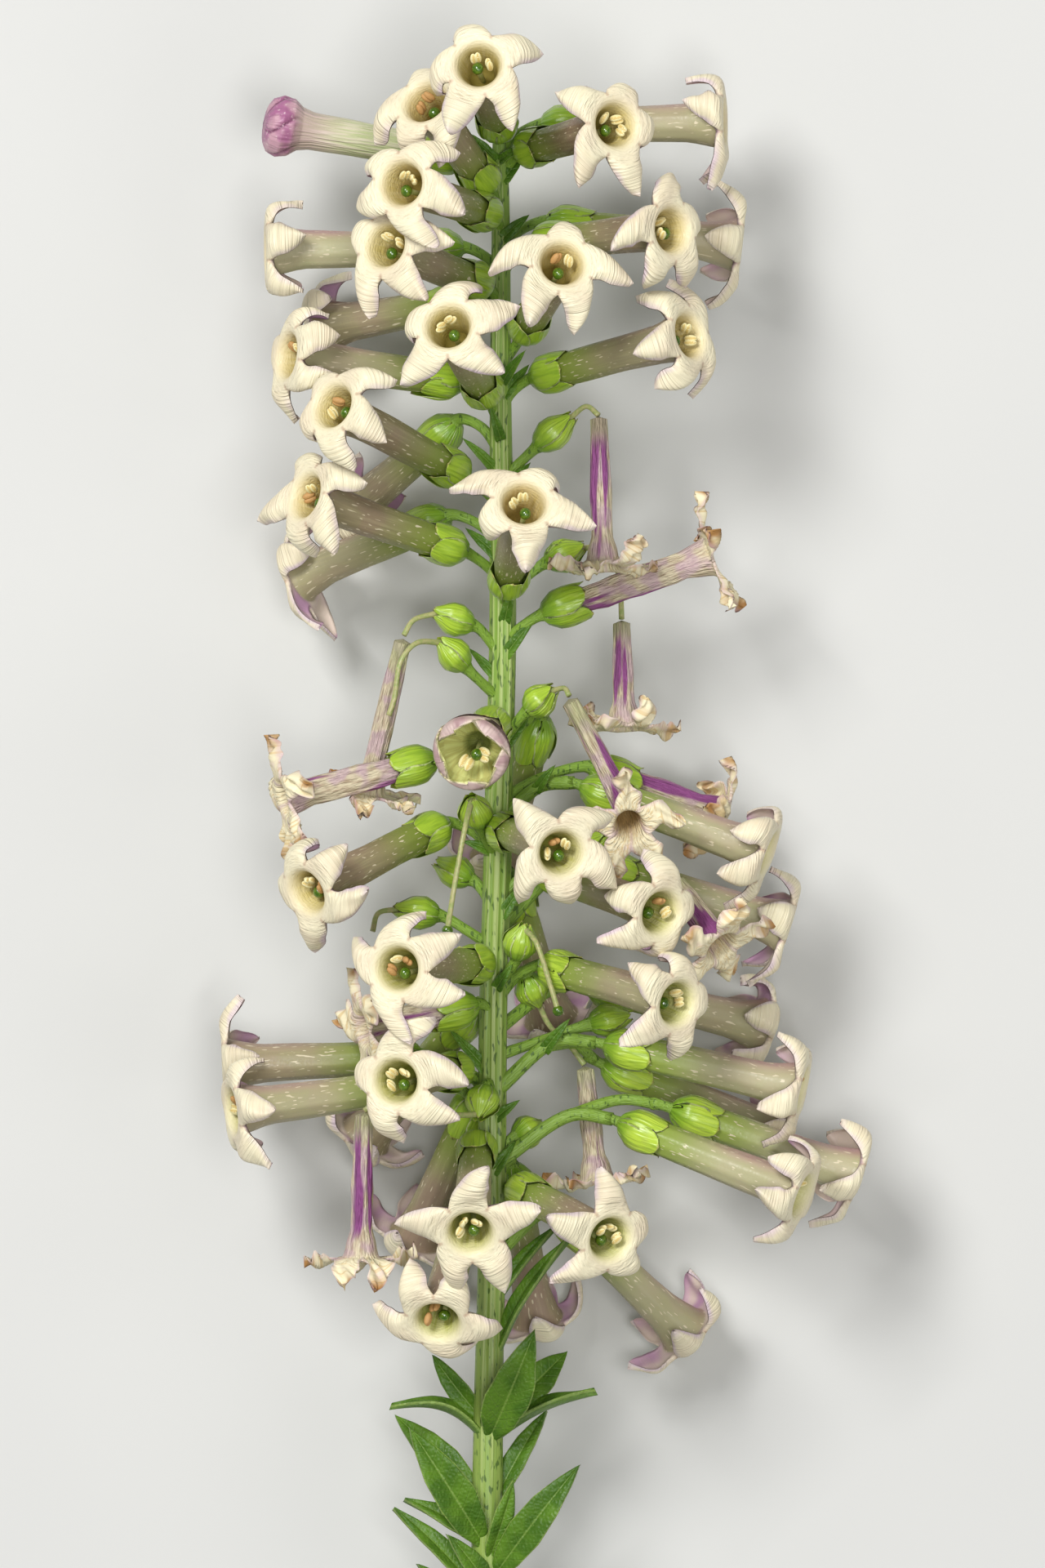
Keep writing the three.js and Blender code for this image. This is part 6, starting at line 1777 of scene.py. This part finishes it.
def calyx_material(sizes):
    """Glossy yellow-green sepals with painted shade at the base, and thin ragged whitish edges."""

    def build(tree, shader):
        along, across, _ = tree.split(tree.value("shade"))
        skin = tree.value("skin")
        lime, _, seed = tree.split(tree.value("mood"))
        place = tree.place()
        veins = tree.effect(folds_group(), {"Skin": skin, "Around": 6.0, "Along": 0.5,
                                            "Seed": seed})
        patches = tree.noise(place, 1100.0)
        fresh = tree.mix(lime, sizes.calyx_colour, CALYX_LIME)
        # Painted shade: the sepals darken towards their base.
        base = tree.mix(tree.step(along, 0.05, 0.55), sizes.calyx_base_shade, fresh)
        base = tree.mix(tree.step(veins["Height"], 0.4, 0.68, 0.0, 0.4), base, CALYX_VEIN)
        base = tree.mix(tree.step(patches, 0.55, 0.75, 0.0, 0.4), base, CALYX_PATCH)
        edge = tree.effect(edge_group(), {"Place": place, "Across": across, "Width": 0.13,
                                          "Softness": 0.10, "Raggedness": 0.12, "Scale": 3200.0})
        base = tree.mix(tree.math("MULTIPLY", edge["Mask"], 0.6), base, sizes.scarious_colour)
        base = tree.mix(tree.step(along, 0.93, 1.0, 0.0, 0.8), base, CALYX_POINT)
        tree.put(shader.inputs["Base Color"], base)
        bump(tree, shader, veins["Height"], CALYX_RELIEF)
        waxy(shader, 0.30, 0.3, 0.35)

    return material("calyx_skin", build)


def style_material(sizes):
    """Pale green, a little glossy."""

    def build(tree, shader):
        grain = tree.noise(tree.place(), 3200.0)
        base = tree.mix(tree.step(grain, 0.35, 0.65), sizes.style_colour, STYLE_SHADE)
        tree.put(shader.inputs["Base Color"], base)
        bump(tree, shader, grain, STYLE_RELIEF)
        waxy(shader, 0.35, 0.1)

    return material("style_skin", build)


def stigma_material(sizes):
    """Dark green and wet."""

    def build(tree, shader):
        grain = tree.noise(tree.place(), 3600.0)
        base = tree.mix(tree.step(grain, 0.35, 0.7), sizes.stigma_colour, STIGMA_SHADE)
        tree.put(shader.inputs["Base Color"], base)
        bump(tree, shader, grain, STIGMA_RELIEF)
        waxy(shader, 0.16, 0.5, 0.5)

    return material("stigma_skin", build)


def leaf_material(sizes):
    """Dark green with a pale midrib and margin, faint veins and fine pale dots."""

    def build(tree, shader):
        _, across, side = tree.split(tree.value("shade"))
        x, y, _ = tree.split(tree.value("skin"))
        place = tree.place()
        patches = tree.noise(place, 500.0)
        fine = tree.noise(place, 4500.0, 0.0)
        base = tree.mix(tree.step(patches, 0.35, 0.65), sizes.leaf_colour, LEAF_PATCH)
        slope = tree.math("SUBTRACT", y, tree.math("MULTIPLY", tree.math("ABSOLUTE", x), 0.9))
        vein = tree.math("SINE", tree.math("MULTIPLY", slope, 7.5))
        veins = tree.step(vein, 0.82, 1.0)
        base = tree.mix(tree.math("MULTIPLY", veins, 0.07), base, sizes.margin_colour)
        dots = tree.effect(specks_group(), {"Place": place, "Scale": 3600.0, "Size": 0.18,
                                            "Share": 0.5})
        base = tree.mix(tree.math("MULTIPLY", dots["Mask"], 0.28), base, LEAF_DOT)
        base = tree.mix(tree.step(across, 0.07, 0.02, 0.0, 0.3), base, sizes.margin_colour)
        edge = tree.effect(edge_group(), {"Place": place, "Across": across, "Width": 0.07,
                                          "Softness": 0.04, "Raggedness": 0.03, "Scale": 1500.0})
        base = tree.mix(tree.math("MULTIPLY", edge["Mask"], 0.6), base, sizes.margin_colour)
        base = tree.mix(tree.math("MULTIPLY", side, 0.35), base, LEAF_REVERSE)
        tree.put(shader.inputs["Base Color"], base)
        height = tree.math("ADD", tree.math("MULTIPLY", veins, -0.3), fine)
        bump(tree, shader, height, LEAF_RELIEF)
        waxy(shader, 0.42, 0.0, 0.3)

    return material("leaf_skin", build)


# ---------------------------------------- stage


class HONEYBELLS_OT_stage(bpy.types.Operator):
    """Lays the table and sets the light and the camera"""

    bl_idname = "honeybells.stage"
    bl_label = "Table, light and camera"

    SENSOR = 36.0

    def execute(self, context):
        sizes = context.scene.honeybells_stage
        table(sizes)
        centre = np.array((sizes.centre_x, sizes.centre_y, 0.0)) + np.array(SHIFT)
        soft_light("key", centre, (-260.0, 300.0, 620.0), 240.0, sizes.key_power)
        soft_light("front", centre, (90.0, -70.0, 900.0), 260.0, sizes.front_power)
        soft_light("fill", centre, (380.0, -160.0, 460.0), 300.0, sizes.fill_power)
        context.scene.view_settings.view_transform = "Standard"
        world = bpy.data.worlds.new("studio")
        world.use_nodes = True
        sky = world.node_tree.nodes["Background"]
        sky.inputs["Color"].default_value = (1.0, 1.0, 1.0, 1.0)
        sky.inputs["Strength"].default_value = sizes.world_strength
        context.scene.world = world
        camera = bpy.data.objects.new("camera", bpy.data.cameras.new("camera"))
        context.scene.collection.objects.link(camera)
        distance = sizes.view_height * sizes.lens / self.SENSOR
        camera.location = (centre + np.array((0.0, 0.0, distance))) * MILLIMETRE
        camera.data.sensor_width = self.SENSOR
        camera.data.lens = sizes.lens
        camera.data.clip_start = 0.01
        camera.data.clip_end = 10.0
        camera.data.dof.use_dof = False
        context.scene.camera = camera
        return {"FINISHED"}


def table(sizes):
    """The table top under the lowest flowers."""
    half = sizes.table_size / 2 * MILLIMETRE
    corners = [(-half, -half, 0.0), (half, -half, 0.0), (half, half, 0.0), (-half, half, 0.0)]
    mesh = bpy.data.meshes.new("table")
    mesh.from_pydata(corners, [], [(0, 1, 2, 3)])

    def build(tree, shader):
        grain = tree.noise(tree.place(), 60.0, 0.0)
        base = tree.mix(tree.step(grain, 0.3, 0.7, 0.0, 0.05), sizes.table_colour, (0.5, 0.5, 0.5))
        tree.put(shader.inputs["Base Color"], base)
        shader.inputs["Roughness"].default_value = 0.85

    mesh.materials.append(material("table_top", build))
    top = bpy.data.objects.new("table", mesh)
    bpy.context.scene.collection.objects.link(top)


def soft_light(name, centre, offset, size, power):
    """A square soft light that looks at the spike from offset millimetres away."""
    data = bpy.data.lights.new(name, "AREA")
    data.size = size * MILLIMETRE
    data.energy = power
    light = bpy.data.objects.new(name, data)
    light.location = (centre + np.array(offset)) * MILLIMETRE
    heading = unit(-np.array(offset, float))
    light.rotation_mode = "QUATERNION"
    light.rotation_quaternion = Vector(heading).to_track_quat("-Z", "Y")
    bpy.context.scene.collection.objects.link(light)


# ---------------------------------------- sidebar and order of work


GROUPS = {
    "honeybells_flower": HONEYBELLS_PG_flower,
    "honeybells_green": HONEYBELLS_PG_green,
    "honeybells_withered": HONEYBELLS_PG_withered,
    "honeybells_bud": HONEYBELLS_PG_bud,
    "honeybells_stage": HONEYBELLS_PG_stage,
}
OPERATORS = (
    HONEYBELLS_OT_stem,
    HONEYBELLS_OT_leaves,
    HONEYBELLS_OT_calyces,
    HONEYBELLS_OT_styles,
    HONEYBELLS_OT_flowers,
    HONEYBELLS_OT_withered,
    HONEYBELLS_OT_buds,
    HONEYBELLS_OT_stage,
)


class HONEYBELLS_PT_panel(bpy.types.Panel):
    """Lists the steps and the settings of the spike"""

    bl_label = "Honey bells"
    bl_idname = "HONEYBELLS_PT_panel"
    bl_space_type = "VIEW_3D"
    bl_region_type = "UI"
    bl_category = "Honey bells"

    def draw(self, context):
        for step in OPERATORS:
            self.layout.operator(step.bl_idname)
        for name, group in GROUPS.items():
            box = self.layout.box()
            box.label(text=group.__doc__)
            for key in group.__annotations__:
                box.prop(getattr(context.scene, name), key)


def register():
    for group in GROUPS.values():
        bpy.utils.register_class(group)
    for step in (*OPERATORS, HONEYBELLS_PT_panel):
        bpy.utils.register_class(step)
    for name, group in GROUPS.items():
        setattr(bpy.types.Scene, name, bpy.props.PointerProperty(type=group))


def unregister():
    for name in GROUPS:
        delattr(bpy.types.Scene, name)
    for step in (HONEYBELLS_PT_panel, *reversed(OPERATORS)):
        bpy.utils.unregister_class(step)
    for group in reversed(GROUPS.values()):
        bpy.utils.unregister_class(group)


def check_shift():
    """Raises if the spike's own frame doesn't lie where the part has it."""
    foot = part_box("flowering_stem")[0].y / MILLIMETRE - SHIFT[1]
    if abs(foot - STEM_FOOT) > FRAME_SLACK:
        raise RuntimeError(f"the stem's cut end is at y = {foot:.3f}, not {STEM_FOOT}")


def main():
    register()
    check_shift()
    for step in OPERATORS:
        family, name = step.bl_idname.split(".")
        getattr(getattr(bpy.ops, family), name)()


if __name__ == "__main__":
    main()
